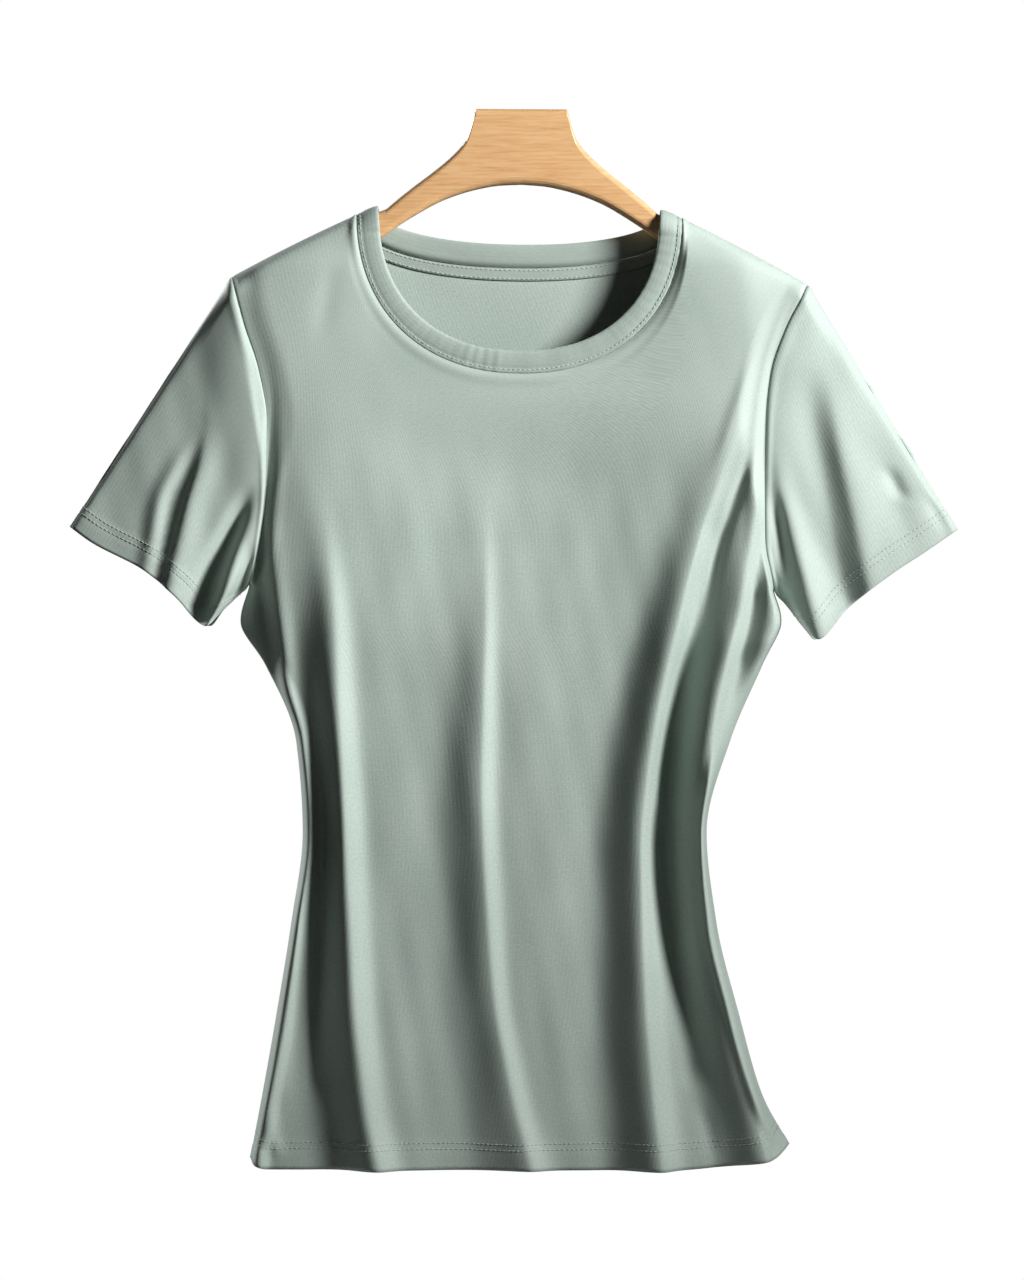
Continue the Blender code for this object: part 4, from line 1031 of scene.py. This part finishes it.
def build_neckband(cloth, sewing):
    points, normals, ways = neck_ring()
    round_run = run_along(points)
    pucker = sum(height * np.sin(2 * math.pi * round_run / wave + phase) for height, wave, phase in PUCKERS)
    grid = np.stack([points + out * ways + (rise + pucker * (rise > -1))[:, None] * normals
                     for out, rise in BAND_PROFILE])
    rows = closed_up(grid)
    across, up = runs(rows)
    uv = closed_up(np.stack([up.T, across.T], axis=-1))
    uv[-1, :, 1] = uv[-2, :, 1] + BAND_LAST_STEP
    piece = tube("neckband_fold", closed_up(rows.transpose(1, 0, 2)), uv, cloth)
    place(piece, "neckband")
    row = (closed_up(points + BAND_STITCH_IN * ways), closed_up(normals))
    place(stitches("neckband_stitches", [row], sewing), None)


def tube(name, grid, uv, material):
    """A closed mesh from cross-sections whose first and last rows and columns meet."""
    rows, columns, _ = grid.shape
    count = (rows - 1, columns - 1)
    verts = grid[:-1, :-1].reshape(-1, 3)
    faces, corners = [], []
    for i in range(count[0]):
        for j in range(count[1]):
            ring = ((i, j), (i, j + 1), (i + 1, j + 1), (i + 1, j))
            faces.append([(a % count[0]) * count[1] + b % count[1] for a, b in ring])
            corners += [uv[a, b] * MM for a, b in ring]
    piece = add_piece(name, verts, faces, material, np.array(corners))
    outward(piece)
    return piece


def build_tape(cloth, sewing):
    """The woven tape that covers the neck seam inside the back."""
    at = fine_columns(BACK.guides, BAND_STEPS)
    share = np.linspace(TAPE_SEARCH_SHARE, 1, TAPE_SEARCH_ROWS)
    rows = panel_surface(BACK, at, BODY_ROWS, np.concatenate([[0], share]))[-TAPE_SEARCH_ROWS:]
    below = np.linalg.norm(rows[-1] - rows[0], axis=-1)
    keep = (at >= BACK.neck_left + 1) & (at <= BACK.neck_right - 1)
    reach = 1 - (TAPE_BELOW_SEAM + np.linspace(TAPE_WIDTH, 0, 9)[:, None]) / below
    knots = np.linspace(0, 1, TAPE_SEARCH_ROWS)
    grid = np.stack([[smooth(knots, rows[:, j], (r,))[0] for j, r in enumerate(line)] for line in reach])[:, keep]
    normals = surface_normals(grid, np.array((0, 1, 0)))
    grid = grid - normals * (CLOTH + TAPE_OFF_CLOTH)
    across, up = runs(grid)
    piece = shell("neck_tape_strip", grid, np.stack([across, up], axis=-1), cloth, thickness=TAPE_WALL, flip=True)
    place(piece, "neck_tape")
    inner = grid - normals * TAPE_WALL
    lines = [row_of(inner, -normals, up, at_length) for at_length in (TAPE_STITCH_IN, TAPE_WIDTH - TAPE_STITCH_IN)]
    place(stitches("neck_tape_stitches", lines, sewing), None)


def build_hanger(wood):
    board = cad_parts["hanger"]
    for held in board.material_slots:
        held.material = wood
    for face in board.data.polygons:
        face.material_index = 0


def build_studio():
    bpy.ops.object.select_all(action="DESELECT")
    bpy.ops.mesh.primitive_circle_add(
        vertices=96, radius=FLOOR_RADIUS, fill_type="NGON", location=(0, 0, FLOOR_Z))
    floor = bpy.context.object
    floor.name = "studio_floor"
    floor.data.materials.append(chalk_floor("matt floor paint"))
    for lamp in STUDIO_LAMPS:
        data = bpy.data.lights.new(lamp.name, "AREA")
        data.shape = "DISK"
        data.size = lamp.size
        data.energy = lamp.power
        data.spread = math.radians(lamp.spread)
        data.color = linear(lamp.colour)[:3]
        light = add_object(lamp.name, data)
        light.location = lamp.place
        light.rotation_euler = (Vector(lamp.aim) - Vector(lamp.place)).to_track_quat("-Z", "Y").to_euler()
    world = bpy.data.worlds.new("white studio")
    world.use_nodes = True
    tree = world.node_tree
    sky = tree.nodes["Background"]
    sky.inputs["Color"].default_value = (1, 1, 1, 1)
    seen = node(tree, "ShaderNodeLightPath").outputs["Is Camera Ray"]
    strength = node(tree, "ShaderNodeMath", {
        "operation": "MULTIPLY_ADD", 0: seen, 1: 1 - WORLD_LIGHT, 2: WORLD_LIGHT})
    tree.links.new(strength.outputs[0], sky.inputs["Strength"])
    bpy.context.scene.world = world
    bpy.context.scene.view_settings.view_transform = "Standard"


def build_camera():
    data = bpy.data.cameras.new("front camera")
    data.lens = CAMERA_LENS
    camera = add_object("front camera", data)
    camera.location = (CAMERA_X, -CAMERA_DISTANCE, CAMERA_Z)
    camera.rotation_euler = (math.pi / 2, 0, 0)
    bpy.context.scene.camera = camera


# Studio, in metres, watts and degrees
FLOOR_Z = -1.75
FLOOR_RADIUS = 1.6
Lamp = namedtuple("Lamp", "name place aim size power spread colour")
STUDIO_LAMPS = (
    Lamp("key light, right", (1.56, -0.95, 0.45), (-0.35, 0.0, -0.10), 0.6, 11.0, 64, "#FFFFFF"),
    Lamp("fill light, front", (0.3, -3.2, 0.6), (0.0, 0.0, -0.36), 1.2, 0.5, 180, "#F8FBFF"),
    Lamp("back light, for the rear", (-1.6, 1.5, 0.5), (0.0, 0.0, -0.36), 1.2, 62.0, 180, "#FFFFFF"),
)
WORLD_LIGHT = 0.02
CAMERA_X = -0.0063
CAMERA_Z = -0.3525
CAMERA_DISTANCE = 3.0
CAMERA_LENS = 127.0


def main():
    # Wales and courses, in millimetres. Real ones are under 1 mm apart and don't show, so these are drawn coarser.
    cloth = jersey("cotton jersey", "#9FAEA5", "#B3C0B8", 2.6, 1.9, 0.3)
    # The neckband's jersey is the same cloth made a little darker; the darkening is painted shade, not a different dye.
    doubled = jersey("cotton jersey with painted band shade", "#95A39B", "#A8B5AD", 2.6, 1.9, 0.3)
    tape = jersey("woven cotton tape", "#97A59D", "#A9B6AF", 0.9, 0.9, 0.5)
    sewing = thread("polyester thread", "#A5B3AB", "#BCC8C1")
    build_panels(cloth, sewing)
    build_sleeves(cloth, sewing)
    build_neckband(doubled, sewing)
    build_tape(tape, sewing)
    build_hanger(beech("varnished beech"))
    build_studio()
    build_camera()


main()
